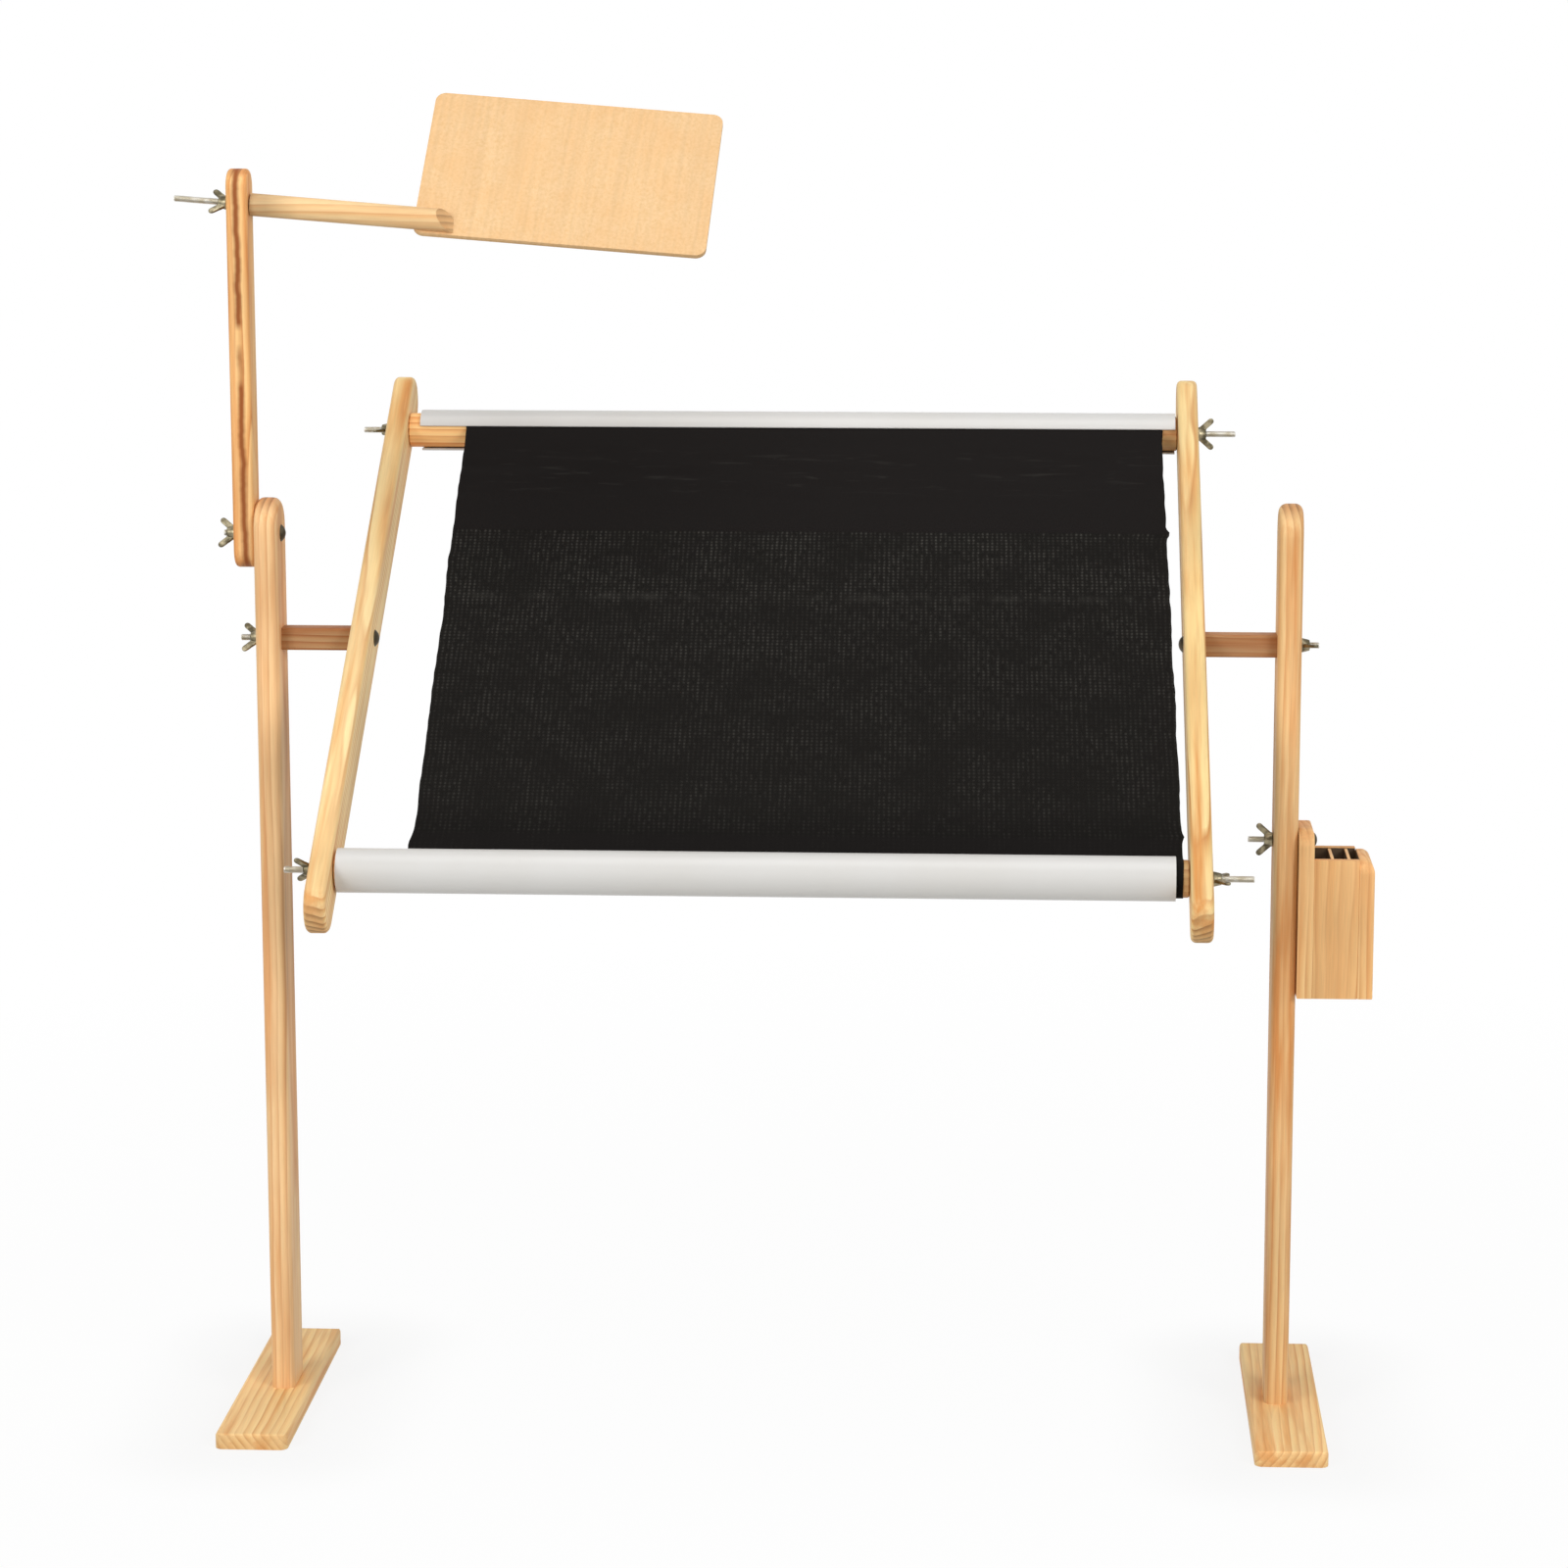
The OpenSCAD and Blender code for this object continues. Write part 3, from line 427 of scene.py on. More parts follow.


# Black cotton canvas for counted-thread work, with a smooth cotton band sewn to its top: dull black,
# its blocks of thread painted greyer where they stand up, partly the weave's pattern and partly a painted
# highlight

def thread_blocks(tree, flat, way):
    """The height of the threads: short dashes of warp, row by row, stronger in cloudy patches."""
    look = bpy.context.scene.stand_cloth
    # Blocks of thread are 1.8 mm apart in the real cloth, drawn at the width the setting gives
    per_metre = 1.0 / look.thread_spacing
    jitter = put(tree, "ShaderNodeTexNoise", {"Vector": flat.outputs["UV"], "Scale": 90.0, "Detail": 2.0})
    sway = put(tree, "ShaderNodeMath", {0: jitter.outputs["Fac"], 1: 0.0012, 2: way.outputs["X"]},
               operation="MULTIPLY_ADD")
    warp_turn = put(tree, "ShaderNodeMath", {0: sway.outputs["Value"], 1: per_metre * 2 * math.pi},
                    operation="MULTIPLY")
    warp = put(tree, "ShaderNodeMath", {0: warp_turn.outputs["Value"]}, operation="SINE")
    weft_turn = put(tree, "ShaderNodeMath", {0: way.outputs["Y"], 1: per_metre * 2 * math.pi},
                    operation="MULTIPLY")
    weft = put(tree, "ShaderNodeMath", {0: weft_turn.outputs["Value"]}, operation="SINE")
    # Short dashes where the warp stands up, 3 mm wide and 7 mm long, painted bright as highlights
    dashed = put(tree, "ShaderNodeMapping", {"Vector": flat.outputs["UV"], "Scale": (260.0, 125.0, 1.0)})
    dash = put(tree, "ShaderNodeTexNoise", {"Vector": dashed.outputs["Vector"], "Scale": 1.0, "Detail": 3.0,
                                            "Roughness": 0.6})
    dash_on = put(tree, "ShaderNodeMapRange", {
        "Value": dash.outputs["Fac"], "From Min": 0.38, "From Max": 0.58, "To Min": 0.0, "To Max": 1.0})
    cloud = put(tree, "ShaderNodeTexNoise", {"Vector": flat.outputs["UV"], "Scale": 28.0, "Detail": 2.0})
    cloud_on = put(tree, "ShaderNodeMapRange", {
        "Value": cloud.outputs["Fac"], "From Min": 0.38, "From Max": 0.6, "To Min": 0.25, "To Max": 1.0})
    crests = put(tree, "ShaderNodeMapRange", {
        "Value": warp.outputs["Value"], "From Min": -0.4, "From Max": 1.0, "To Min": 0.06, "To Max": 0.8})
    rows = put(tree, "ShaderNodeMapRange", {
        "Value": weft.outputs["Value"], "From Min": -0.7, "From Max": 0.8, "To Min": 0.2, "To Max": 1.0})
    lift = put(tree, "ShaderNodeMath", {0: crests.outputs["Result"], 1: dash_on.outputs["Result"]},
               operation="MULTIPLY")
    lift_row = put(tree, "ShaderNodeMath", {0: lift.outputs["Value"], 1: rows.outputs["Result"]},
                   operation="MULTIPLY")
    return put(tree, "ShaderNodeMath", {0: lift_row.outputs["Value"], 1: cloud_on.outputs["Result"]},
               operation="MULTIPLY")


def pale_line(tree, flat, way, band_to):
    """A line 76 mm below the band is painted paler in places."""
    off_line = put(tree, "ShaderNodeMath", {0: way.outputs["Y"], 1: band_to + 0.076}, operation="SUBTRACT")
    off_line = put(tree, "ShaderNodeMath", {0: off_line.outputs["Value"]}, operation="ABSOLUTE")
    paler_line = put(tree, "ShaderNodeMapRange", {
        "Value": off_line.outputs["Value"], "From Min": 0.001, "From Max": 0.006, "To Min": 0.20, "To Max": 0.0})
    patches = put(tree, "ShaderNodeMapping", {"Vector": flat.outputs["UV"], "Scale": (45.0, 8.0, 1.0)})
    patch = put(tree, "ShaderNodeTexNoise", {"Vector": patches.outputs["Vector"], "Scale": 1.0, "Detail": 3.0,
                                             "Roughness": 0.65})
    patch_on = put(tree, "ShaderNodeMapRange", {
        "Value": patch.outputs["Fac"], "From Min": 0.46, "From Max": 0.66, "To Min": 0.08, "To Max": 1.0})
    return put(tree, "ShaderNodeMath", {0: paler_line.outputs["Result"], 1: patch_on.outputs["Result"]},
               operation="MULTIPLY")


def painted_wrinkle_highlights(tree, flat, way, span_from):
    """Paints highlights on small wrinkles across the band's middle, about 40 mm long and 4 mm wide, paler
    where they stand up.
    """
    slack = put(tree, "ShaderNodeMapping", {
        "Vector": flat.outputs["UV"], "Rotation": (0.0, 0.0, 0.15), "Scale": (26.0, 210.0, 1.0)})
    wrinkle_highlight = put(tree, "ShaderNodeTexNoise", {
        "Vector": slack.outputs["Vector"], "Scale": 1.0, "Detail": 2.0, "Distortion": 0.7})
    wrinkle_highlight = put(tree, "ShaderNodeMapRange", {
        "Value": wrinkle_highlight.outputs["Fac"], "From Min": 0.60, "From Max": 0.74, "To Min": 0.0, "To Max": 0.20})
    level = put(tree, "ShaderNodeMath", {0: way.outputs["Y"], 1: span_from + 0.055}, operation="SUBTRACT")
    level = put(tree, "ShaderNodeMath", {0: level.outputs["Value"]}, operation="ABSOLUTE")
    level = put(tree, "ShaderNodeMapRange", {
        "Value": level.outputs["Value"], "From Min": 0.014, "From Max": 0.034, "To Min": 1.0, "To Max": 0.0})
    return put(tree, "ShaderNodeMath", {0: wrinkle_highlight.outputs["Result"], 1: level.outputs["Result"]},
               operation="MULTIPLY")


def black_canvas():
    """The whole cloth, whose band at the top and hem at the bottom are smooth and carry no blocks."""
    look = bpy.context.scene.stand_cloth
    span_from, band_to, hem_from = cloth_marks()
    made, tree = new_material("woven_black_cotton")
    flat = put(tree, "ShaderNodeUVMap", uv_map="cloth_plan")
    way = put(tree, "ShaderNodeSeparateXYZ", {"Vector": flat.outputs["UV"]})
    woven = thread_blocks(tree, flat, way)
    # The cloth is pulled tighter towards the lower roller, where its blocks stand up less
    tighter = put(tree, "ShaderNodeMapRange", {
        "Value": way.outputs["Y"], "From Min": band_to, "From Max": hem_from, "To Min": 1.1, "To Max": 0.45})
    woven = put(tree, "ShaderNodeMath", {0: woven.outputs["Value"], 1: tighter.outputs["Result"]},
                operation="MULTIPLY")
    below_band = put(tree, "ShaderNodeMapRange", {
        "Value": way.outputs["Y"], "From Min": band_to - 0.0005, "From Max": band_to + 0.001})
    above_hem = put(tree, "ShaderNodeMapRange", {
        "Value": way.outputs["Y"], "From Min": hem_from - 0.001, "From Max": hem_from + 0.001,
        "To Min": 1.0, "To Max": 0.25})
    open_weave = put(tree, "ShaderNodeMath", {
        0: below_band.outputs["Result"], 1: above_hem.outputs["Result"]}, operation="MULTIPLY")
    paler_line = pale_line(tree, flat, way, band_to)
    woven = put(tree, "ShaderNodeMath", {0: woven.outputs["Value"], 1: paler_line.outputs["Value"]},
                operation="ADD")
    shown = put(tree, "ShaderNodeMath", {0: woven.outputs["Value"], 1: open_weave.outputs["Value"]},
                operation="MULTIPLY")
    wrinkle_highlight = painted_wrinkle_highlights(tree, flat, way, span_from)
    shown = put(tree, "ShaderNodeMath", {0: shown.outputs["Value"], 1: wrinkle_highlight.outputs["Value"]},
                operation="ADD")
    ground = put(tree, "ShaderNodeMix", {
        0: open_weave.outputs["Value"], 6: linear(look_hex(look.band)), 7: linear(look_hex(look.ground))},
        data_type="RGBA")
    # The raised threads are painted greyer than the ground: the weave's pattern, partly a painted highlight
    colour = put(tree, "ShaderNodeMix", {
        0: shown.outputs["Value"], 6: ground.outputs[2], 7: linear(look_hex(look.thread))}, data_type="RGBA")
    # The cloth is painted darker over the 30 mm above the hem
    darker_to_hem = put(tree, "ShaderNodeMapRange", {
        "Value": way.outputs["Y"], "From Min": hem_from - 0.030, "From Max": hem_from, "To Min": 1.0,
        "To Max": 0.72})
    colour = put(tree, "ShaderNodeVectorMath", {0: colour.outputs[2], "Scale": darker_to_hem.outputs["Result"]},
                 operation="SCALE")
    # Plain twist of the cotton, 0.4 mm, which only roughens the light
    twist = put(tree, "ShaderNodeTexNoise", {"Vector": flat.outputs["UV"], "Scale": 1400.0, "Detail": 1.0})
    height = put(tree, "ShaderNodeMath", {0: shown.outputs["Value"], 1: twist.outputs["Fac"]},
                 operation="ADD")
    raised = put(tree, "ShaderNodeBump", {
        "Strength": 0.35, "Distance": 0.0003, "Height": height.outputs["Value"]})
    shader = put(tree, "ShaderNodeBsdfPrincipled", {
        "Base Color": colour.outputs["Vector"], "Roughness": 0.95, "IOR": 1.5, "Specular IOR Level": 0.06,
        "Sheen Weight": 0.015, "Sheen Roughness": 0.6, "Normal": raised.outputs["Normal"]})
    finish_material(tree, shader)
    return made


# Modelling by hand

def alone():
    """Leaves nothing selected, so that the next step touches only its own piece."""
    bpy.ops.object.select_all(action="DESELECT")


def pick(piece):
    """Selects one piece and makes it the active one."""
    alone()
    piece.select_set(True)
    bpy.context.view_layer.objects.active = piece


def apply_place(piece):
    """Writes a piece's place, turn and size into its mesh."""
    pick(piece)
    bpy.ops.object.transform_apply(location=True, rotation=True, scale=True)


def use_modifier(piece, kind, **settings):
    """Adds a modifier, sets it and applies it."""
    pick(piece)
    made = piece.modifiers.new("step", kind)
    for key, value in settings.items():
        setattr(made, key, value)
    bpy.ops.object.modifier_apply(modifier=made.name)


def smooth(piece, degrees):
    """Shades a piece smooth, except over edges sharper than the angle."""
    pick(piece)
    bpy.ops.object.shade_smooth_by_angle(angle=math.radians(degrees))


def place_copy(pattern, name, where):
    """Copies a piece with its own mesh and puts it in its place, its object at the origin."""
    made = pattern.copy()
    made.data = pattern.data.copy()
    made.name = made.data.name = name
    bpy.context.scene.collection.objects.link(made)
    made.matrix_world = where
    apply_place(made)
    return made


def clear_away(piece):
    """Deletes a pattern or a cutter with its mesh."""
    mesh = piece.data
    bpy.data.objects.remove(piece)
    bpy.data.meshes.remove(mesh)


def turned(name, rings, sides):
    """A round piece on the Z axis: a circle extruded and scaled through its rings of (radius, height)."""
    alone()
    radius, height = rings[0]
    bpy.ops.mesh.primitive_circle_add(vertices=sides, radius=radius, location=(0, 0, height),
                                      fill_type="NGON")
    made = bpy.context.object
    made.name = name
    apply_place(made)
    bpy.ops.object.mode_set(mode="EDIT")
    bpy.ops.mesh.select_all(action="SELECT")
    for next_radius, next_height in rings[1:]:
        bpy.ops.mesh.extrude_region_move(TRANSFORM_OT_translate={"value": (0, 0, next_height - height)})
        scale = next_radius / radius
        bpy.ops.transform.resize(value=(scale, scale, 1), center_override=(0, 0, next_height))
        radius, height = next_radius, next_height
    bpy.ops.mesh.select_all(action="SELECT")
    bpy.ops.mesh.normals_make_consistent(inside=False)
    bpy.ops.object.mode_set(mode="OBJECT")
    return made


def joined(first, *others):
    """Joins pieces into the first one."""
    alone()
    for piece in others:
        piece.select_set(True)
    first.select_set(True)
    bpy.context.view_layer.objects.active = first
    bpy.ops.object.join()
    return first


def eased(node, name, material, width):
    """A board cut like its node, with every sharp edge eased by the plane."""
    source = NODES[node]
    made = source.copy()
    made.data = source.data.copy()
    made.parent = None
    made.matrix_world = Matrix.Identity(4)
    # The copy is a new piece, so it sheds the node's own marks
    for key in [k for k in made.keys() if k.startswith("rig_")]:
        del made[key]
    made.name = made.data.name = name
    bpy.context.scene.collection.objects.link(made)
    pick(made)
    bpy.ops.object.mode_set(mode="EDIT")
    bpy.ops.mesh.select_all(action="SELECT")
    bpy.ops.mesh.remove_doubles(threshold=0.00001)
    bpy.ops.mesh.customdata_custom_splitnormals_clear()
    bpy.ops.mesh.dissolve_limited(angle_limit=math.radians(1), delimit={"NORMAL"})
    bpy.ops.object.mode_set(mode="OBJECT")
    use_modifier(made, "BEVEL", width=width, segments=2, limit_method="ANGLE",
                 angle_limit=math.radians(50), harden_normals=False, use_clamp_overlap=True)
    smooth(made, 40)
    wear(made, material)
    return made


# What the settings hold

def colour_setting(name, description, default):
    """A colour that the user may change, as sRGB."""
    return FloatVectorProperty(name=name, description=f"{description}, as sRGB", subtype="COLOR_GAMMA",
                               size=3, min=0, max=1, default=default)


def length_setting(name, description, low, high, default):
    """A length that the user may change, in metres, within its bounds."""
    return FloatProperty(name=name, description=description, subtype="DISTANCE", unit="LENGTH", min=low,
                         max=high, default=default)


class StandTimber(bpy.types.PropertyGroup):
    pale: colour_setting("Early wood", "The pale spring growth of the pine", (0.937, 0.765, 0.545))
    streak: colour_setting("Resin streak", "The orange streaks in the pine", (0.845, 0.545, 0.285))
    end: colour_setting("End grain", "The sawn ends of the pine", (0.800, 0.560, 0.350))
    ring_width: length_setting("Ring width", "One year's growth across the board", 0.0005, 0.02, 0.0052)
    ring_wander: length_setting("Ring wander", "How far the rings stray from a true round", 0, 0.1, 0.012)
    edge: length_setting("Eased edge", "Width of the small flat that the plane leaves on an edge",
                         0, 0.003, 0.0008)


class StandBoard(bpy.types.PropertyGroup):
    face: colour_setting("Face", "The chart board's face", (0.899, 0.744, 0.548))
    speck: colour_setting("Specks", "The darker fibres in the chart board", (0.877, 0.709, 0.501))
    edge: length_setting("Eased edge", "Rounding of the board's cut edge", 0, 0.0015, 0.0007)


class StandClips(bpy.types.PropertyGroup):
    plastic: colour_setting("Plastic", "The clips' white plastic", (0.828, 0.825, 0.817))


class StandHardware(bpy.types.PropertyGroup):
    nut_colour: colour_setting("Nuts", "The wing nuts' plating", (0.370, 0.340, 0.265))
    bolt_colour: colour_setting("Bolts", "The bolts' and screws' plating", (0.850, 0.842, 0.820))
    head_colour: colour_setting("Bolt heads", "The round heads' darker plating", (0.300, 0.270, 0.215))
    pitch: length_setting("Thread pitch", "One turn of the bolts' thread", 0.0004, 0.002, 0.0008)
    bolt_size: length_setting("Bolt size", "Outside of the bolts' thread", 0.003, 0.0052, 0.0050)
    wing_span: length_setting("Wing span", "A wing nut over its two wings", 0.018, 0.025, 0.025)
    wing_height: length_setting("Wing height", "A wing nut from its face to its wings' tips",
                                0.009, 0.0125, 0.0125)


class StandCloth(bpy.types.PropertyGroup):
    width: length_setting("Width", "The cloth from edge to edge", 0.3, 0.6, 0.552)
    band: colour_setting("Band", "The smooth band at the top", (0.098, 0.088, 0.084))
    ground: colour_setting("Ground", "The canvas between its raised threads", (0.085, 0.078, 0.072))
    thread: colour_setting("Thread", "The canvas' raised threads", (0.265, 0.258, 0.242))
    thread_spacing: length_setting(
        "Thread spacing", "From one block of thread to the next as drawn, twice the real one",
        0.001, 0.01, 0.0036)
    band_depth: length_setting("Band depth", "How far the smooth band comes down from the upper roller",
                               0, 0.3, 0.124)
    hem_depth: length_setting("Hem depth", "The smooth hem above the lower roller", 0, 0.1, 0.020)
    ripple: length_setting("Ripple", "Height of the stretched cloth's soft ripples", 0, 0.003, 0.0006)


class StandStage(bpy.types.PropertyGroup):
    floor_size: length_setting("Floor", "Side of the pale floor", 3, 60, 30)
    side_power: FloatProperty(
        name="Side lights", description="Power of each soft light in front at the left and the right",
        subtype="POWER", unit="POWER", min=0, max=2000, default=48)
    top_power: FloatProperty(
        name="Top light", description="Power of the soft light overhead", subtype="POWER", unit="POWER",
        min=0, max=2000, default=30)
    sky: FloatProperty(
        name="Room light", description="Strength of the even light all round", min=0, max=3, default=0.40)


# Stand

class STAND_OT_uprights(bpy.types.Operator):
    """Finish the posts, feet and spacers in pine"""
    bl_idname = "stand.uprights"
    bl_label = "Side stands"

    def execute(self, context):
        edge = context.scene.stand_timber.edge
        wear(NODES["left_post"], pine("pine_left_post", "up", (0.62, -0.02), (1.07, 1.10, 1.20), lines=0.75))
        wear(NODES["right_post"], pine("pine_right_post", "up", (-0.61, -0.03), (1.0, 1.02, 1.02), 0.9,
                                       lines=0.7))
        # The spacers' pine is toned about half as bright as the posts'
        blocks = pine("pine_spacers", "across", (-0.56, 0.03), (0.52, 0.46, 0.45), 0.9)
        for side, pith in (("left", (0.215, 0.13)), ("right", (-0.205, 0.14))):
            board = pine(f"pine_{side}_foot", "deep", pith, (1.18, 1.27, 1.26), 0.7, lines=0.75, sawn=0.4)
            foot = eased(f"{side}_foot", f"{side}_foot_board", board, edge)
            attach(foot, "stand")
            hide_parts(f"{side}_foot")
            block = eased(f"{side}_spacer", f"{side}_spacer_block", blocks, edge)
            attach(block, "stand")
            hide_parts(f"{side}_spacer")
        return {"FINISHED"}


class STAND_OT_scroll_frame(bpy.types.Operator):
    """Finish the rails, the two rollers and their clips"""
    bl_idname = "stand.scroll_frame"
    bl_label = "Scroll frame"

    def execute(self, context):
        wear(NODES["left_rail"], pine("pine_left_rail", "rail", (0.52, -0.50), (1.12, 1.31, 1.41), 0.8, 1.5))
        wear(NODES["right_rail"], pine("pine_right_rail", "rail", (-0.50, -0.53), (1.03, 1.18, 1.18), 1.0,
                                       2.2))
        # The rollers carry painted light at their left ends and painted shade at their right ends
        rollers = pine("pine_rollers", "across", (-0.70, 0.20), (0.92, 0.90, 0.84),
                       fade=((-0.3, 1.5), (0.3, 0.74)))
        plastic = rigid_vinyl()
        for end in ("top", "bottom"):
            wear(NODES[f"{end}_roller"], rollers)
            wear(NODES[f"{end}_clip"], plastic)
        return {"FINISHED"}


# Cloth

# Height of the span over the rollers' axes, radius of the wrap and how much its inner end lies lower
SPAN_LEVEL = 0.01122
WRAP_RADIUS = 0.01400
WRAP_TUCK = 0.00024
# Points round each roller and along the span, and across the cloth
WRAP_STEPS = 56
SPAN_STEPS = 150
CLOTH_COLUMNS = 110
# How far the cloth's middle lies to the right on the upper roller, and how much further on the lower one
CLOTH_RIGHT = 0.017
CLOTH_DRIFT = 0.008
CLOTH_THICK = 0.0004
LEAVE = math.asin(SPAN_LEVEL / WRAP_RADIUS)
SPAN_END = ROLLER_REACH - WRAP_RADIUS * math.cos(LEAVE)


def cloth_line():
    """The cloth's line round the upper roller, along the span and round the lower roller."""
    points = []
    for i in range(WRAP_STEPS + 1):
        part = i / WRAP_STEPS
        angle = math.pi - LEAVE - 2 * math.pi * (1 - part)
        radius = WRAP_RADIUS - WRAP_TUCK * (1 - part)
        points.append((ROLLER_REACH + radius * math.cos(angle), radius * math.sin(angle)))
    for i in range(1, SPAN_STEPS):
        points.append((SPAN_END * (1 - 2 * i / SPAN_STEPS), SPAN_LEVEL))
    for i in range(WRAP_STEPS + 1):
        part = i / WRAP_STEPS
        angle = LEAVE + 2 * math.pi * part
        radius = WRAP_RADIUS - WRAP_TUCK * part
        points.append((-ROLLER_REACH + radius * math.cos(angle), radius * math.sin(angle)))
    lengths = [0.0]
    for a, b in zip(points, points[1:]):
        lengths.append(lengths[-1] + math.dist(a, b))
    return points, lengths


def cloth_marks():
    """Where along the cloth the span starts, the smooth band ends and the hem starts."""
    look = bpy.context.scene.stand_cloth
    start = 2 * math.pi * (WRAP_RADIUS - WRAP_TUCK / 2)
    return start, start + look.band_depth, start + 2 * SPAN_END - look.hem_depth


def cloth_shape(across, along, level):
    """How far to the right a point of the cloth lies, and how high over the rollers' axes.

    across runs from -0.5 to 0.5 over its width, along is metres of cloth and level is its height if flat.
    """
    look = bpy.context.scene.stand_cloth
    start, band_to = cloth_marks()[:2]
    span = 2 * SPAN_END
    past = along - start
    down = min(max(past / span, 0.0), 1.0)
    x = CLOTH_RIGHT + CLOTH_DRIFT * down + look.width * across
    # Edges stray a little, more so at the seam and near the lower roller
    rim = (2 * abs(across)) ** 12
    stray = 0.0010 * noise.noise(Vector((across * 3, along * 22, 4.0)))
    stray += 0.0006 * noise.noise(Vector((across * 3, along * 90, 9.0)))
    if across > 0:
        stray += 0.0028 * math.exp(-((along - band_to) / 0.004) ** 2)
        stray += 0.0015 * math.exp(-((past - span + 0.022) / 0.003) ** 2)
    else:
        stray -= 0.0030 * math.exp(-((past - span + 0.006) / 0.012) ** 2)
    x += rim * stray
    # Ripples stand out of the span, and fade where the rollers hold the cloth
    hold = math.sin(math.pi * down) ** 0.5 if 0 < down < 1 else 0.0
    bend = noise.noise(Vector((x * 9, along * 3.2, 1.0)))
    bend += 0.5 * noise.noise(Vector((x * 21, along * 12, 2.0)))
    crease = math.exp(-((past - 0.055) / 0.030) ** 2)
    crease *= noise.noise(Vector((x * 14 + along * 16, along * 60 - x * 6, 5.0)))
    level += hold * look.ripple * (bend + 3.5 * crease)
    # The band is sewn over the canvas, so it stands a thread's width higher
    if start < along < band_to:
        level += CLOTH_THICK * min(1.0, past / 0.01)
    return x, level


class STAND_OT_cloth(bpy.types.Operator):
    """Stretch the black cloth from the upper roller to the lower one"""
    bl_idname = "stand.cloth"
    bl_label = "Stretched cloth"

    def execute(self, context):
        look = context.scene.stand_cloth
        line, lengths = cloth_line()
        columns, rows = CLOTH_COLUMNS, len(line)
        alone()
        bpy.ops.mesh.primitive_grid_add(x_subdivisions=columns - 1, y_subdivisions=rows - 1, size=1,
                                        calc_uvs=True)
        cloth = context.object
        cloth.name = cloth.data.name = "stretched_cloth"
        plan = {}
        for vertex in cloth.data.vertices:
            column = round((vertex.co.x + 0.5) * (columns - 1))
            row = round((0.5 - vertex.co.y) * (rows - 1))
            across, along = column / (columns - 1) - 0.5, lengths[row]
            reach, level = line[row]
            x, level = cloth_shape(across, along, level)
            vertex.co = SCROLL @ Vector((x, reach, level))
            plan[vertex.index] = (look.width * (across + 0.5), along)
        sheet_plan = cloth.data.uv_layers[0]
        sheet_plan.name = "cloth_plan"
        for loop in cloth.data.loops:
            sheet_plan.data[loop.index].uv = plan[loop.vertex_index]
        cloth.data.update()
        pick(cloth)
        bpy.ops.object.mode_set(mode="EDIT")
        bpy.ops.mesh.select_all(action="SELECT")
        bpy.ops.mesh.normals_make_consistent(inside=False)
        bpy.ops.object.mode_set(mode="OBJECT")
        use_modifier(cloth, "SOLIDIFY", thickness=CLOTH_THICK, offset=0.0, use_rim=True)
        smooth(cloth, 60)
        wear(cloth, black_canvas())
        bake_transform(cloth)
        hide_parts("cloth")
        return {"FINISHED"}


# Hardware

# Sides of a turn, and the thread's depth as a share of its pitch
THREAD_SIDES = 20
THREAD_DEPTH = 0.61
# A tip narrows over its last length, at 45 degrees
TIP_CHAMFER = 0.0006
# Half width and height of a round head, and the side of the square neck below it
HEAD_REACH, HEAD_RISE = 0.0065, 0.0035
NECK = 0.0055


def thread_profile(name, middle, root, crest, pitch):
    """One turn's profile: a plane on edge, its outer side pulled to a ridge and its inner side cut off."""
    alone()
    bpy.ops.mesh.primitive_plane_add(size=pitch, location=(root - pitch / 2, 0, middle),
                                     rotation=(math.radians(90), 0, 0))
    made = bpy.context.object
    made.name = name
    apply_place(made)
    mesh = made.data
    bpy.ops.object.mode_set(mode="EDIT")
    bpy.ops.mesh.select_all(action="DESELECT")
    bpy.ops.object.mode_set(mode="OBJECT")
    for edge in mesh.edges:
        edge.select = all(mesh.vertices[v].co.x > root - pitch / 4 for v in edge.vertices)
    bpy.ops.object.mode_set(mode="EDIT")
    bpy.ops.mesh.select_mode(type="EDGE")
    bpy.ops.mesh.subdivide(number_cuts=1)
    bpy.ops.mesh.select_mode(type="VERT")
    bpy.ops.mesh.select_all(action="DESELECT")
    bpy.ops.object.mode_set(mode="OBJECT")
    for vertex in mesh.vertices:
        vertex.select = abs(vertex.co.z - middle) < pitch / 8 and vertex.co.x > root - pitch / 4
    bpy.ops.object.mode_set(mode="EDIT")
    bpy.ops.transform.translate(value=(crest - root, 0, 0))
    bpy.ops.mesh.select_all(action="DESELECT")
    bpy.ops.object.mode_set(mode="OBJECT")
    for vertex in mesh.vertices:
        vertex.select = vertex.co.x < root - pitch / 4
    bpy.ops.object.mode_set(mode="EDIT")
    bpy.ops.mesh.delete(type="VERT")
    bpy.ops.object.mode_set(mode="OBJECT")
    return made


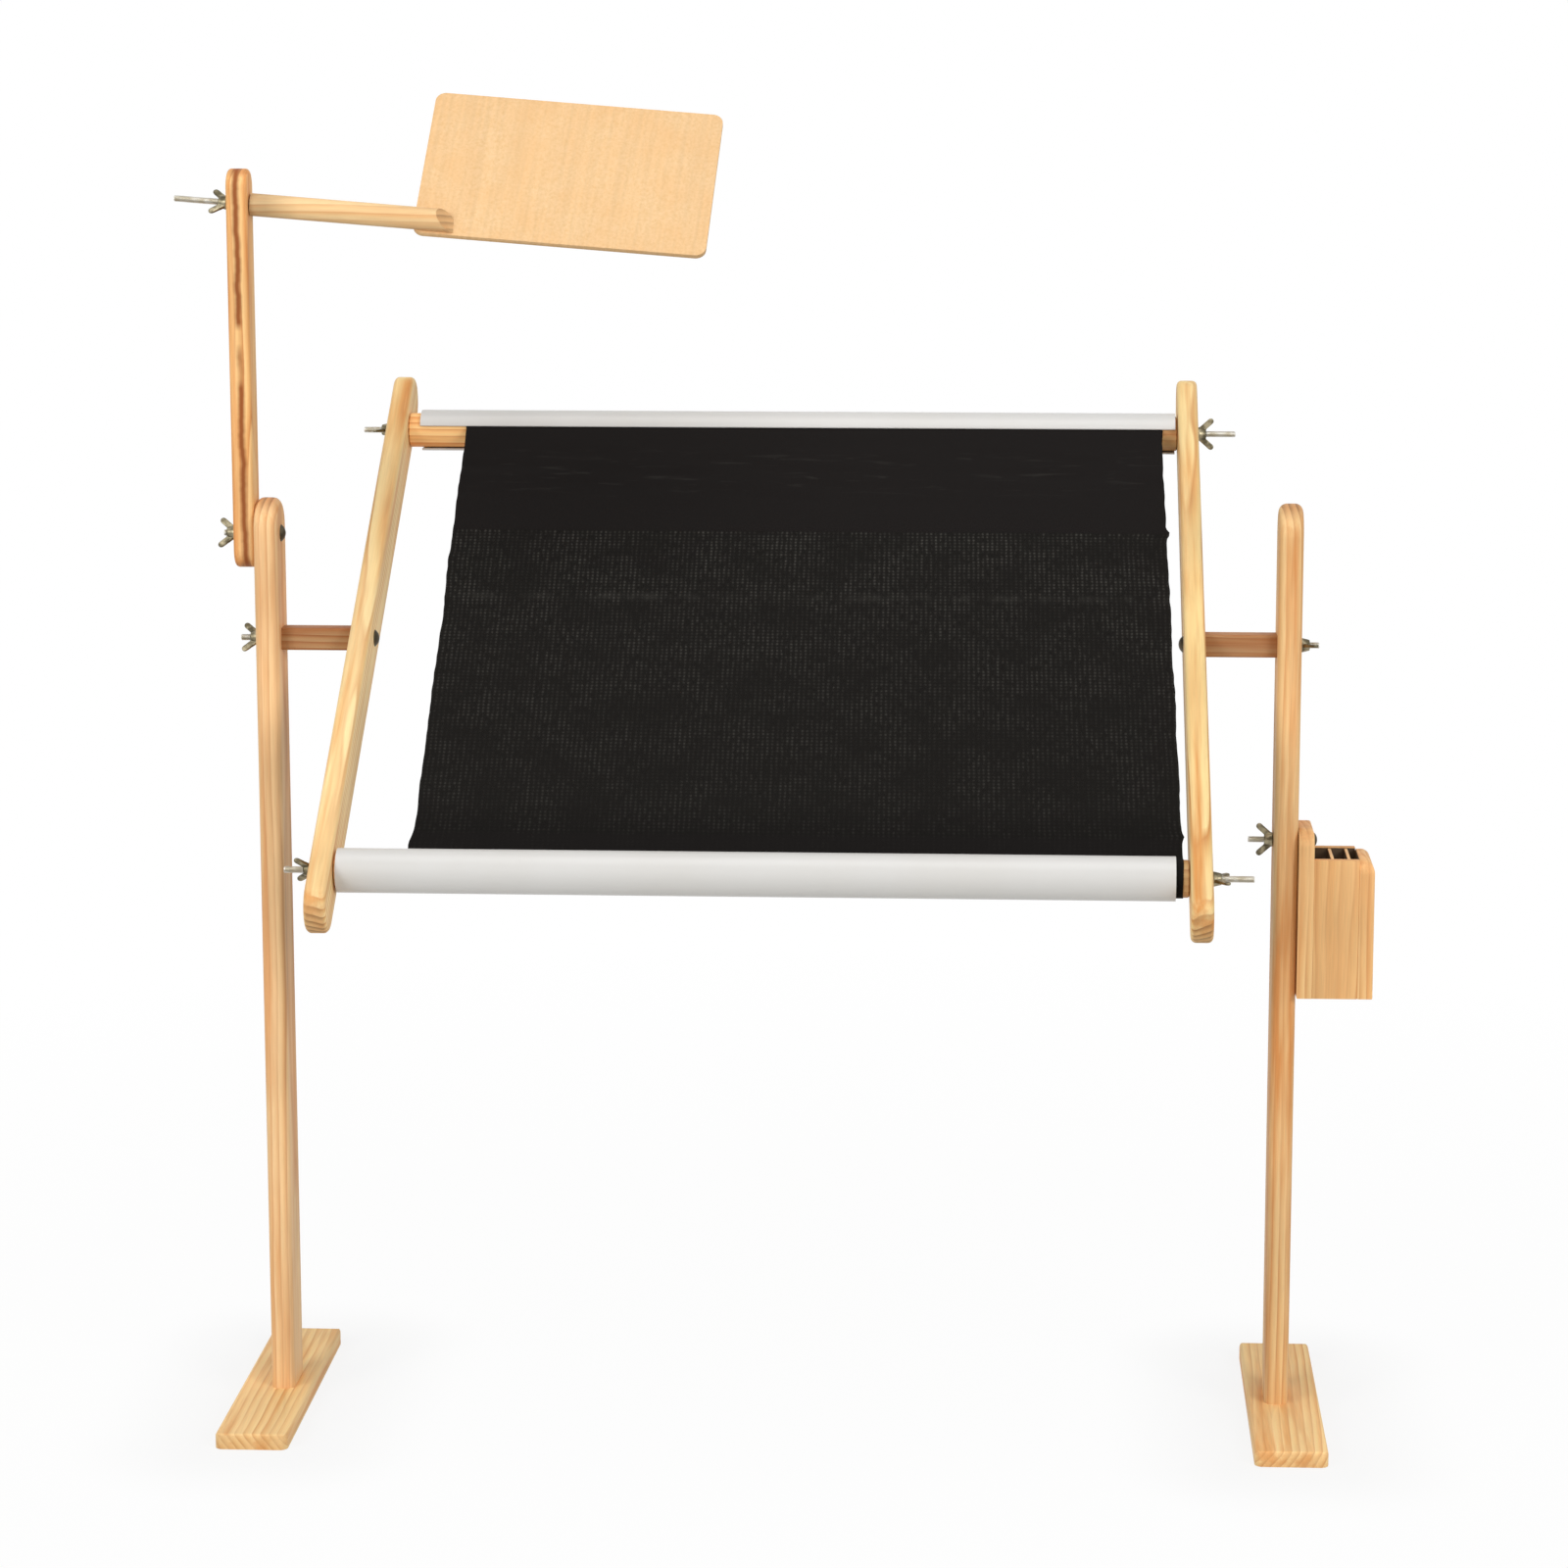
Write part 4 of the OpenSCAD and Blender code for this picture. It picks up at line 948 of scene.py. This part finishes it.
def threaded(name, low, high):
    """A length of thread on the Z axis, its ends cut square and its tip chamfered."""
    look = bpy.context.scene.stand_hardware
    pitch, crest = look.pitch, look.bolt_size / 2
    root = crest - THREAD_DEPTH * pitch
    made = thread_profile(name, low - pitch, root, crest, pitch)
    mesh = made.data
    turns = math.ceil((high - low) / pitch) + 3
    use_modifier(made, "SCREW", axis="Z", angle=2 * math.pi, screw_offset=pitch, iterations=turns,
                 steps=THREAD_SIDES, render_steps=THREAD_SIDES, use_merge_vertices=True,
                 merge_threshold=0.00002, use_smooth_shade=True)
    bpy.ops.object.mode_set(mode="EDIT")
    bpy.ops.mesh.select_all(action="SELECT")
    bpy.ops.mesh.remove_doubles(threshold=0.00002)
    for height, up in ((low, False), (high, True)):
        bpy.ops.mesh.select_all(action="SELECT")
        bpy.ops.mesh.bisect(plane_co=(0, 0, height), plane_no=(0, 0, 1), use_fill=True,
                            clear_inner=not up, clear_outer=up)
    bpy.ops.mesh.select_all(action="SELECT")
    bpy.ops.mesh.normals_make_consistent(inside=False)
    bpy.ops.mesh.select_all(action="DESELECT")
    bpy.ops.object.mode_set(mode="OBJECT")
    for vertex in mesh.vertices:
        left = high - vertex.co.z
        if left < TIP_CHAMFER:
            reach = math.hypot(vertex.co.x, vertex.co.y)
            most = crest - TIP_CHAMFER + left
            if reach > most:
                vertex.co.x *= most / reach
                vertex.co.y *= most / reach
    return made


def bolt(name, from_z, to_z, thread_from, head, plated, dull):
    """A bolt on the Z axis: its thread, its plain shank and, on some, a round head and a square neck."""
    look = bpy.context.scene.stand_hardware
    made = threaded(name, thread_from, to_z)
    wear(made, plated)
    parts = []
    if from_z < thread_from:
        shank_r = look.bolt_size / 2 - 0.00005
        parts.append(turned("shank", [(shank_r, from_z), (shank_r, thread_from + 0.0004)], 24))
        wear(parts[-1], plated)
    if head:
        dome = (HEAD_REACH ** 2 + HEAD_RISE ** 2) / (2 * HEAD_RISE)
        rings = [(0.0002, -HEAD_RISE)]
        steps = 10
        for i in range(1, steps):
            angle = math.asin(HEAD_REACH / dome) * i / steps
            rings.append((max(dome * math.sin(angle), 0.0003), -HEAD_RISE + dome * (1 - math.cos(angle))))
        # The rim is rounded
        rings += [(HEAD_REACH - 0.00015, -0.0004), (HEAD_REACH, -0.0002), (HEAD_REACH - 0.0002, 0.0)]
        parts.append(turned("head", rings, 48))
        wear(parts[-1], dull)
        alone()
        bpy.ops.mesh.primitive_cube_add(size=NECK, location=(0, 0, NECK / 2))
        neck = bpy.context.object
        apply_place(neck)
        use_modifier(neck, "BEVEL", width=0.0004, segments=2, limit_method="ANGLE")
        wear(neck, dull)
        parts.append(neck)
    joined(made, *parts)
    made.name = made.data.name = name
    smooth(made, 32)
    return made


def bolt_list():
    """A row for each bolt: its node and body, its start, its end and the start of its thread, in metres along
    it, if it has a head, and its place.
    """
    rows = []
    pivot = POST_OUT - RAIL_IN + 0.014
    for side, x, facing in (("left", -RAIL_IN, TURN_LEFT), ("right", RAIL_IN, TURN_RIGHT)):
        rows.append((f"{side}_pivot_bolt", "frame", 0.0, pivot, pivot - 0.030, True,
                     SCROLL @ Matrix.Translation((x, 0, 0)) @ facing))
    # The roller bolts are screwed 25 mm into the roller ends and come out of the rails by 21 and 30 mm
    inside, thread_from = RAIL_IN - FACE_GAP - 0.025, RAIL_OUT - 0.004
    for end, body, place in (("top", "upper_roller", UPPER_ROLLER), ("bottom", "lower_roller", LOWER_ROLLER)):
        for side, shown, facing in (("left", 0.021, TURN_LEFT), ("right", 0.030, TURN_RIGHT)):
            rows.append((f"{end}_{side}_bolt", body, inside, RAIL_OUT + shown, thread_from, False,
                         place @ facing))
    arm = POST_OUT - POST_IN + FACE_GAP + ARM_THICK + 0.009
    rows.append(("chart_arm_bolt", "stand", 0.0, arm, arm - 0.016, True,
                 Matrix.Translation((-POST_IN, 0, ARM_BOLT_HEIGHT)) @ TURN_LEFT))
    rows.append(("chart_rod_bolt", "board", -ROD_START - 0.025, ARM_THICK / 2 + 0.041, ARM_THICK / 2 - 0.002,
                 False, CHART @ TURN_LEFT))
    low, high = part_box("box_bolt")
    under_head = high.x - HEAD_RISE
    box = under_head - low.x
    rows.append(("box_bolt", "tool_box", 0.0, box, box - 0.024, True,
                 Matrix.Translation((under_head, 0, (low.z + high.z) / 2)) @ TURN_LEFT))
    return rows


class STAND_OT_bolts(bpy.types.Operator):
    """Make the threaded bolts with their round heads"""
    bl_idname = "stand.bolts"
    bl_label = "Bolts"

    def execute(self, context):
        look = context.scene.stand_hardware
        plated = zinc("zinc_plated_bolts", look.bolt_colour, "#cac5b8", 0.28, 0.45, 900.0)
        dull = zinc("zinc_bolt_heads", look.head_colour, "#5d5443", 0.40, 0.60, 900.0)
        for node, body, from_z, to_z, thread_from, head, where in bolt_list():
            pattern = bolt("pattern", from_z, to_z, thread_from, head, plated, dull)
            made = place_copy(pattern, f"{node}_threaded", where)
            clear_away(pattern)
            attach(made, body)
            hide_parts(node)
        return {"FINISHED"}


def nut_pattern():
    """A wing nut on the Z axis, cast in one: a round hub and two wings drawn out to round ears."""
    look = bpy.context.scene.stand_hardware
    hub = turned("cast_nut", [(0.0051, 0.0), (0.0055, 0.0003), (0.0054, 0.0010), (0.0042, 0.0060),
                              (0.0038, 0.0065), (0.0027, 0.0065)], 48)
    tip_r = 0.0023
    tip_x, tip_z = look.wing_span / 2 - tip_r, look.wing_height - tip_r
    slant = math.radians(40)
    # Half the thickness of a wing at its hub, where it is drawn out, and at its round ear
    hub_half, out_half, ear_half = 0.0013, 0.00085, 0.00095
    for side in (1, -1):
        # A wing starts as a block whose corners are drawn out to the wing's outline
        alone()
        bpy.ops.mesh.primitive_cube_add(
            size=1, location=(side * 0.006, 0, 0.004), scale=(0.006, 0.0024, 0.004))
        wing = bpy.context.object
        apply_place(wing)
        for vertex in wing.data.vertices:
            out = side * vertex.co.x > 0.006
            up = vertex.co.z > 0.004
            if out and up:
                x, z = tip_x - tip_r * math.cos(slant), tip_z + tip_r * math.sin(slant)
            elif out:
                x, z = tip_x + tip_r * math.cos(slant), tip_z - tip_r * math.sin(slant)
            elif up:
                x, z = 0.0034, 0.0060
            else:
                x, z = 0.0050, 0.0010
            vertex.co = (side * x, math.copysign(out_half if out else hub_half, vertex.co.y), z)
        alone()
        bpy.ops.mesh.primitive_cylinder_add(
            vertices=32, radius=tip_r, depth=2 * ear_half, location=(side * tip_x, 0, tip_z),
            rotation=(math.radians(90), 0, 0))
        ear = bpy.context.object
        apply_place(ear)
        use_modifier(ear, "BEVEL", width=0.0005, segments=2, limit_method="ANGLE")
        joined(hub, wing, ear)
    use_modifier(hub, "REMESH", mode="VOXEL", voxel_size=0.00028, use_smooth_shade=True)
    use_modifier(hub, "SMOOTH", factor=0.5, iterations=5)
    use_modifier(hub, "DECIMATE", ratio=0.12)
    smooth(hub, 50)
    return hub


def nut_list():
    """A row for each wing nut: its node and its place, at the angle that it was left at."""
    level = Matrix.Translation((0, 0, PIVOT_HEIGHT))
    post, rail = POST_OUT + FACE_GAP, RAIL_OUT + FACE_GAP
    # Each nut's node, its bolt's line, its place along x, the way it faces and its turn in degrees
    settings = [
        ("left_pivot_nut", level, -post, TURN_LEFT, 40),
        ("right_pivot_nut", level, post, TURN_RIGHT, 85),
        ("top_left_nut", UPPER_ROLLER, -rail, TURN_LEFT, 125),
        ("top_right_nut", UPPER_ROLLER, rail, TURN_RIGHT, 145),
        ("bottom_left_nut", LOWER_ROLLER, -rail, TURN_LEFT, -5),
        ("bottom_right_nut", LOWER_ROLLER, rail, TURN_RIGHT, 62),
        ("chart_arm_nut", Matrix.Translation((0, 0, ARM_BOLT_HEIGHT)),
         -(ARM_MIDDLE + ARM_THICK / 2 + FACE_GAP), TURN_LEFT, 35),
        ("chart_rod_nut", CHART, -ROD_START, TURN_LEFT, 50),
        ("box_nut", Matrix.Translation((0, 0, BOX_BOLT_HEIGHT)), POST_IN - FACE_GAP, TURN_LEFT, 0),
    ]
    rows = []
    for node, line, x, facing, spin in settings:
        spun = Matrix.Rotation(math.radians(spin), 4, "Z")
        rows.append((node, line @ Matrix.Translation((x, 0, 0)) @ facing @ spun))
    return rows


class STAND_OT_wing_nuts(bpy.types.Operator):
    """Cast the nine wing nuts"""
    bl_idname = "stand.wing_nuts"
    bl_label = "Wing nuts"

    def execute(self, context):
        look = context.scene.stand_hardware
        pattern = nut_pattern()
        wear(pattern, zinc("zinc_cast_wing_nuts", look.nut_colour, "#a0967c", 0.32, 0.5, 700.0))
        bodies = {n: b for b, names in frame["record"]["behaviour"]["bodies"].items() for n in names}
        for node, where in nut_list():
            made = place_copy(pattern, f"{node}_cast", where)
            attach(made, bodies[node])
            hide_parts(node)
        clear_away(pattern)
        return {"FINISHED"}


# Width over a foot screw's head
FOOT_SCREW_HEAD = 0.008


def wood_screw(name, long, thick, head, recess):
    """A countersunk screw on the Z axis, its head's flat at zero and a cross cut in it."""
    neck = (head - thick) / 2
    made = turned(name, [(head / 2 - 0.0001, 0.0), (head / 2, 0.0002), (thick / 2, neck),
                         (thick / 2, long - 0.003), (0.0002, long)], 32)
    cutters = []
    for turn in (0, 90):
        alone()
        bpy.ops.mesh.primitive_cube_add(size=1, location=(0, 0, 0), scale=(head * 0.6, recess, recess * 2.4),
                                        rotation=(0, 0, math.radians(turn)))
        cutters.append(bpy.context.object)
        apply_place(cutters[-1])
    for cutter in cutters:
        use_modifier(made, "BOOLEAN", operation="DIFFERENCE", object=cutter, solver="EXACT")
        clear_away(cutter)
    smooth(made, 35)
    return made


def foot_screw_places():
    """The four screws stand upright in the feet; the node's box ends at their heads' edges."""
    low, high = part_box("foot_screws")
    across, deep = high.x - FOOT_SCREW_HEAD / 2, high.y - FOOT_SCREW_HEAD / 2
    return [Matrix.Translation((sx * across, sy * deep, low.z)) for sx in (-1, 1) for sy in (-1, 1)]


def board_screw_places():
    """The two screws come through the chart board from behind, into the rod's flat."""
    lean = CHART @ Matrix.Rotation(-CHART_LEAN, 4, "X")
    face = Matrix.Rotation(math.radians(90), 4, "X")
    return [lean @ Matrix.Translation((x, BOARD_BACK, 0)) @ face
            for x in (ROD_END - BOARD_LAP + 0.008, ROD_END - 0.013)]


class STAND_OT_screws(bpy.types.Operator):
    """Make the screws under the feet and behind the chart board"""
    bl_idname = "stand.screws"
    bl_label = "Screws"

    def execute(self, context):
        look = context.scene.stand_hardware
        plated = zinc("zinc_plated_screws", look.bolt_colour, "#cac5b8", 0.3, 0.45, 1100.0)
        groups = [
            ("foot_screws", "stand", wood_screw("pattern", 0.045, 0.004, FOOT_SCREW_HEAD, 0.0011),
             foot_screw_places()),
            ("chart_board_screws", "board", wood_screw("pattern", 0.010, 0.0025, 0.005, 0.0008),
             board_screw_places()),
        ]
        for node, body, pattern, places in groups:
            made = [place_copy(pattern, f"{node}_{i}", where) for i, where in enumerate(places)]
            clear_away(pattern)
            group = joined(*made)
            group.name = group.data.name = f"{node}_cross_head"
            wear(group, plated)
            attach(group, body)
            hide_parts(node)
        return {"FINISHED"}


class STAND_OT_chart_holder(bpy.types.Operator):
    """Finish the arm, its rod and the chart board"""
    bl_idname = "stand.chart_holder"
    bl_label = "Chart holder"

    def execute(self, context):
        edge = context.scene.stand_board.edge
        wear(NODES["chart_arm"], pine("pine_chart_arm", "up", (0.68, -0.02), (1.06, 1.02, 0.92), 0.8, 1.6,
                                      lines=0.8, heart=(-0.3969, 0.006)))
        # The rod's end beside the arm is darkened by the arm's painted shadow
        wear(NODES["chart_rod"], pine("pine_chart_rod", "across", (-0.92, 0.03), (0.97, 1.06, 1.16), 0.4,
                                      lines=0.6, fade=((-0.381, 0.68), (-0.357, 1.0))))
        board = eased("chart_board", "chart_board_pressed", pressed_board(), edge)
        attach(board, "board")
        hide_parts("chart_board")
        return {"FINISHED"}


class STAND_OT_tool_box(bpy.types.Operator):
    """Finish the tool box's boards"""
    bl_idname = "stand.tool_box"
    bl_label = "Tool box"

    def execute(self, context):
        edge = context.scene.stand_timber.edge
        inner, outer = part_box("box_inner_side"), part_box("box_outer_side")
        front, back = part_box("box_front"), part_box("box_back")
        # The slots' space, where shade is painted, reaching 0.6 mm into the boards round it and ending just
        # below their upper edges
        cavity = ((inner[1].x - 0.0006, front[1].y - 0.0006, front[0].z),
                  (outer[0].x + 0.0006, back[0].y + 0.0006, front[1].z - 0.0004))
        sides = pine("pine_tool_box_sides", "up", (-0.70, -0.025), (1.15, 1.13, 1.08), 0.4, lines=0.8,
                     sawn=0.4, inside=cavity)
        walls = pine("pine_tool_box_walls", "up", (-0.95, -0.75), (1.06, 0.97, 0.86), 0.35, 1.6, lines=0.55,
                     sawn=0.4, inside=cavity)
        # The dividers stop lower, and the painted shade leaves their upper edges pale too
        divider_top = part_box("box_divider_1")[1].z - 0.0004
        strips = pine("pine_tool_box_dividers", "up", (-0.95, -0.75), (1.25, 1.30, 1.36), 0.2, 1.6, lines=0.4,
                      sawn=0.2, inside=(cavity[0], (*cavity[1][:2], divider_top)))
        for node, wood in (("box_inner_side", sides), ("box_outer_side", sides), ("box_front", walls),
                           ("box_back", walls), ("box_bottom", walls), ("box_divider_1", strips),
                           ("box_divider_2", strips)):
            board = eased(node, f"{node}_board", wood, min(edge, 0.0006))
            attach(board, "tool_box")
            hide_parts(node)
        return {"FINISHED"}


# Stage

def white_rays(tree):
    """Is 1 for the rays that show the plain white background: straight, mirrored and passed through."""
    path = put(tree, "ShaderNodeLightPath")
    seen = put(tree, "ShaderNodeMath", {0: path.outputs["Is Camera Ray"], 1: path.outputs["Is Glossy Ray"]},
               operation="MAXIMUM")
    return put(tree, "ShaderNodeMath", {0: seen.outputs["Value"], 1: path.outputs["Is Transmission Ray"]},
               operation="MAXIMUM")


def white_floor():
    """Matt white paint that takes the shadow, most plainly round the feet, and is plain white further out."""
    made, tree = new_material("matt_white_floor")
    place = put(tree, "ShaderNodeTexCoord")
    grit = put(tree, "ShaderNodeTexNoise", {"Vector": place.outputs["Object"], "Scale": 25.0})
    paint = put(tree, "ShaderNodeMix", {0: grit.outputs["Fac"], 6: linear("#dcdcda"), 7: linear("#d8d8d6")},
                data_type="RGBA")
    matt = put(tree, "ShaderNodeBsdfDiffuse", {"Color": paint.outputs[2]})
    white = put(tree, "ShaderNodeEmission", {"Color": (1, 1, 1, 1), "Strength": 1.0})
    # How far a point is from the nearer foot, and from the stand's middle
    low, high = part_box("right_foot")
    sides = put(tree, "ShaderNodeVectorMath", {0: place.outputs["Object"]}, operation="ABSOLUTE")
    foot = put(tree, "ShaderNodeVectorMath", {0: sides.outputs["Vector"], 1: ((low.x + high.x) / 2, 0, 0)},
               operation="SUBTRACT")
    foot = put(tree, "ShaderNodeVectorMath", {0: foot.outputs["Vector"]}, operation="ABSOLUTE")
    foot = put(tree, "ShaderNodeVectorMath", {
        0: foot.outputs["Vector"], 1: ((high.x - low.x) / 2, high.y, 0)}, operation="SUBTRACT")
    foot = put(tree, "ShaderNodeVectorMath", {0: foot.outputs["Vector"]}, operation="MAXIMUM")
    near = put(tree, "ShaderNodeVectorMath", {0: foot.outputs["Vector"]}, operation="LENGTH")
    near = put(tree, "ShaderNodeMapRange", {
        "Value": near.outputs["Value"], "From Min": 0.0, "From Max": 0.12, "To Min": 0.86, "To Max": 0.965},
        interpolation_type="SMOOTHSTEP")
    away = put(tree, "ShaderNodeVectorMath", {0: place.outputs["Object"]}, operation="LENGTH")
    far = put(tree, "ShaderNodeMapRange", {
        "Value": away.outputs["Value"], "From Min": 0.7, "From Max": 1.6, "To Min": near.outputs["Result"],
        "To Max": 1.0})
    seen = white_rays(tree)
    share = put(tree, "ShaderNodeMath", {0: seen.outputs["Value"], 1: far.outputs["Result"]},
                operation="MULTIPLY")
    mixed = put(tree, "ShaderNodeMixShader", {0: share.outputs["Value"], 1: matt.outputs["BSDF"],
                                              2: white.outputs["Emission"]})
    put(tree, "ShaderNodeOutputMaterial", {"Surface": mixed.outputs["Shader"]})
    return made


def plain_room(scene, strength):
    """An even light all round, seen as plain white."""
    world = bpy.data.worlds.new("plain_room")
    scene.world = world
    world.use_nodes = True
    tree = world.node_tree
    tree.nodes.clear()
    seen = white_rays(tree)
    room = put(tree, "ShaderNodeBackground", {"Color": (1, 1, 1, 1), "Strength": strength})
    plain = put(tree, "ShaderNodeBackground", {"Color": (1, 1, 1, 1), "Strength": 1.0})
    mixed = put(tree, "ShaderNodeMixShader", {0: seen.outputs["Value"], 1: room.outputs["Background"],
                                              2: plain.outputs["Background"]})
    put(tree, "ShaderNodeOutputWorld", {"Surface": mixed.outputs["Shader"]})


class STAND_OT_stage(bpy.types.Operator):
    """Lay the pale floor and set the lights and the camera"""
    bl_idname = "stand.stage"
    bl_label = "Floor, light and camera"

    def execute(self, context):
        scene = context.scene
        look = scene.stand_stage
        alone()
        bpy.ops.mesh.primitive_plane_add(size=look.floor_size, location=(0, 0, -0.0005))
        floor = context.object
        floor.name = floor.data.name = "pale_floor"
        apply_place(floor)
        wear(floor, white_floor())
        plain_room(scene, look.sky)

        aim = Vector((0, 0, 0.5))
        for name, power, size, place in (
                ("left_light", look.side_power, 1.3, (-2.3, -2.7, 1.9)),
                ("right_light", look.side_power, 1.3, (2.3, -2.7, 1.9)),
                ("top_light", look.top_power, 2.0, (0.0, -0.8, 3.4))):
            alone()
            bpy.ops.object.light_add(type="AREA", location=place)
            lamp = context.object
            lamp.name = name
            lamp.data.energy = power
            lamp.data.size = size
            lamp.rotation_euler = (aim - Vector(place)).to_track_quat("-Z", "Y").to_euler()

        # The photograph's viewpoint: 3.2 m in front, a little to the right, 1.1 m up, looking 10 degrees down
        alone()
        bpy.ops.object.camera_add(location=(0.194, -3.215, 1.104),
                                  rotation=(math.radians(80.25), 0, math.radians(2.86)))
        camera = context.object
        camera.name = "photo_camera"
        camera.data.sensor_width = 36
        camera.data.lens = 99
        camera.data.shift_x = -0.02375
        camera.data.shift_y = -0.05
        camera.data.clip_end = 100
        scene.camera = camera
        scene.view_settings.view_transform = "Standard"
        return {"FINISHED"}


class STAND_PT_pieces(bpy.types.Panel):
    """The pieces of the stand, each with its settings"""
    bl_idname = "STAND_PT_pieces"
    bl_label = "Embroidery Stand"
    bl_space_type = "VIEW_3D"
    bl_region_type = "UI"
    bl_category = "Embroidery Stand"

    def draw(self, context):
        layout = self.layout
        for holder, operators in PANEL_ROWS:
            box = layout.box()
            group = getattr(context.scene, holder)
            for name in group.__annotations__:
                box.prop(group, name)
            for operator in operators:
                box.operator(operator.bl_idname)


PANEL_ROWS = (
    ("stand_timber", (STAND_OT_uprights, STAND_OT_scroll_frame, STAND_OT_tool_box)),
    ("stand_cloth", (STAND_OT_cloth,)),
    ("stand_board", (STAND_OT_chart_holder,)),
    ("stand_clips", (STAND_OT_scroll_frame,)),
    ("stand_hardware", (STAND_OT_bolts, STAND_OT_wing_nuts, STAND_OT_screws)),
    ("stand_stage", (STAND_OT_stage,)),
)

SETTINGS = {
    "stand_timber": StandTimber,
    "stand_board": StandBoard,
    "stand_clips": StandClips,
    "stand_hardware": StandHardware,
    "stand_cloth": StandCloth,
    "stand_stage": StandStage,
}

OPERATORS = (
    STAND_OT_uprights,
    STAND_OT_scroll_frame,
    STAND_OT_cloth,
    STAND_OT_bolts,
    STAND_OT_wing_nuts,
    STAND_OT_screws,
    STAND_OT_chart_holder,
    STAND_OT_tool_box,
    STAND_OT_stage,
)


def register():
    for made in (*SETTINGS.values(), *OPERATORS, STAND_PT_pieces):
        bpy.utils.register_class(made)
    for name, group in SETTINGS.items():
        setattr(bpy.types.Scene, name, PointerProperty(type=group))


def unregister():
    for name in SETTINGS:
        delattr(bpy.types.Scene, name)
    for made in reversed((*SETTINGS.values(), *OPERATORS, STAND_PT_pieces)):
        bpy.utils.unregister_class(made)


def main():
    register()
    bpy.ops.stand.stage()
    bpy.ops.stand.uprights()
    bpy.ops.stand.scroll_frame()
    bpy.ops.stand.cloth()
    bpy.ops.stand.bolts()
    bpy.ops.stand.wing_nuts()
    bpy.ops.stand.screws()
    bpy.ops.stand.chart_holder()
    bpy.ops.stand.tool_box()


if __name__ == "__main__":
    main()
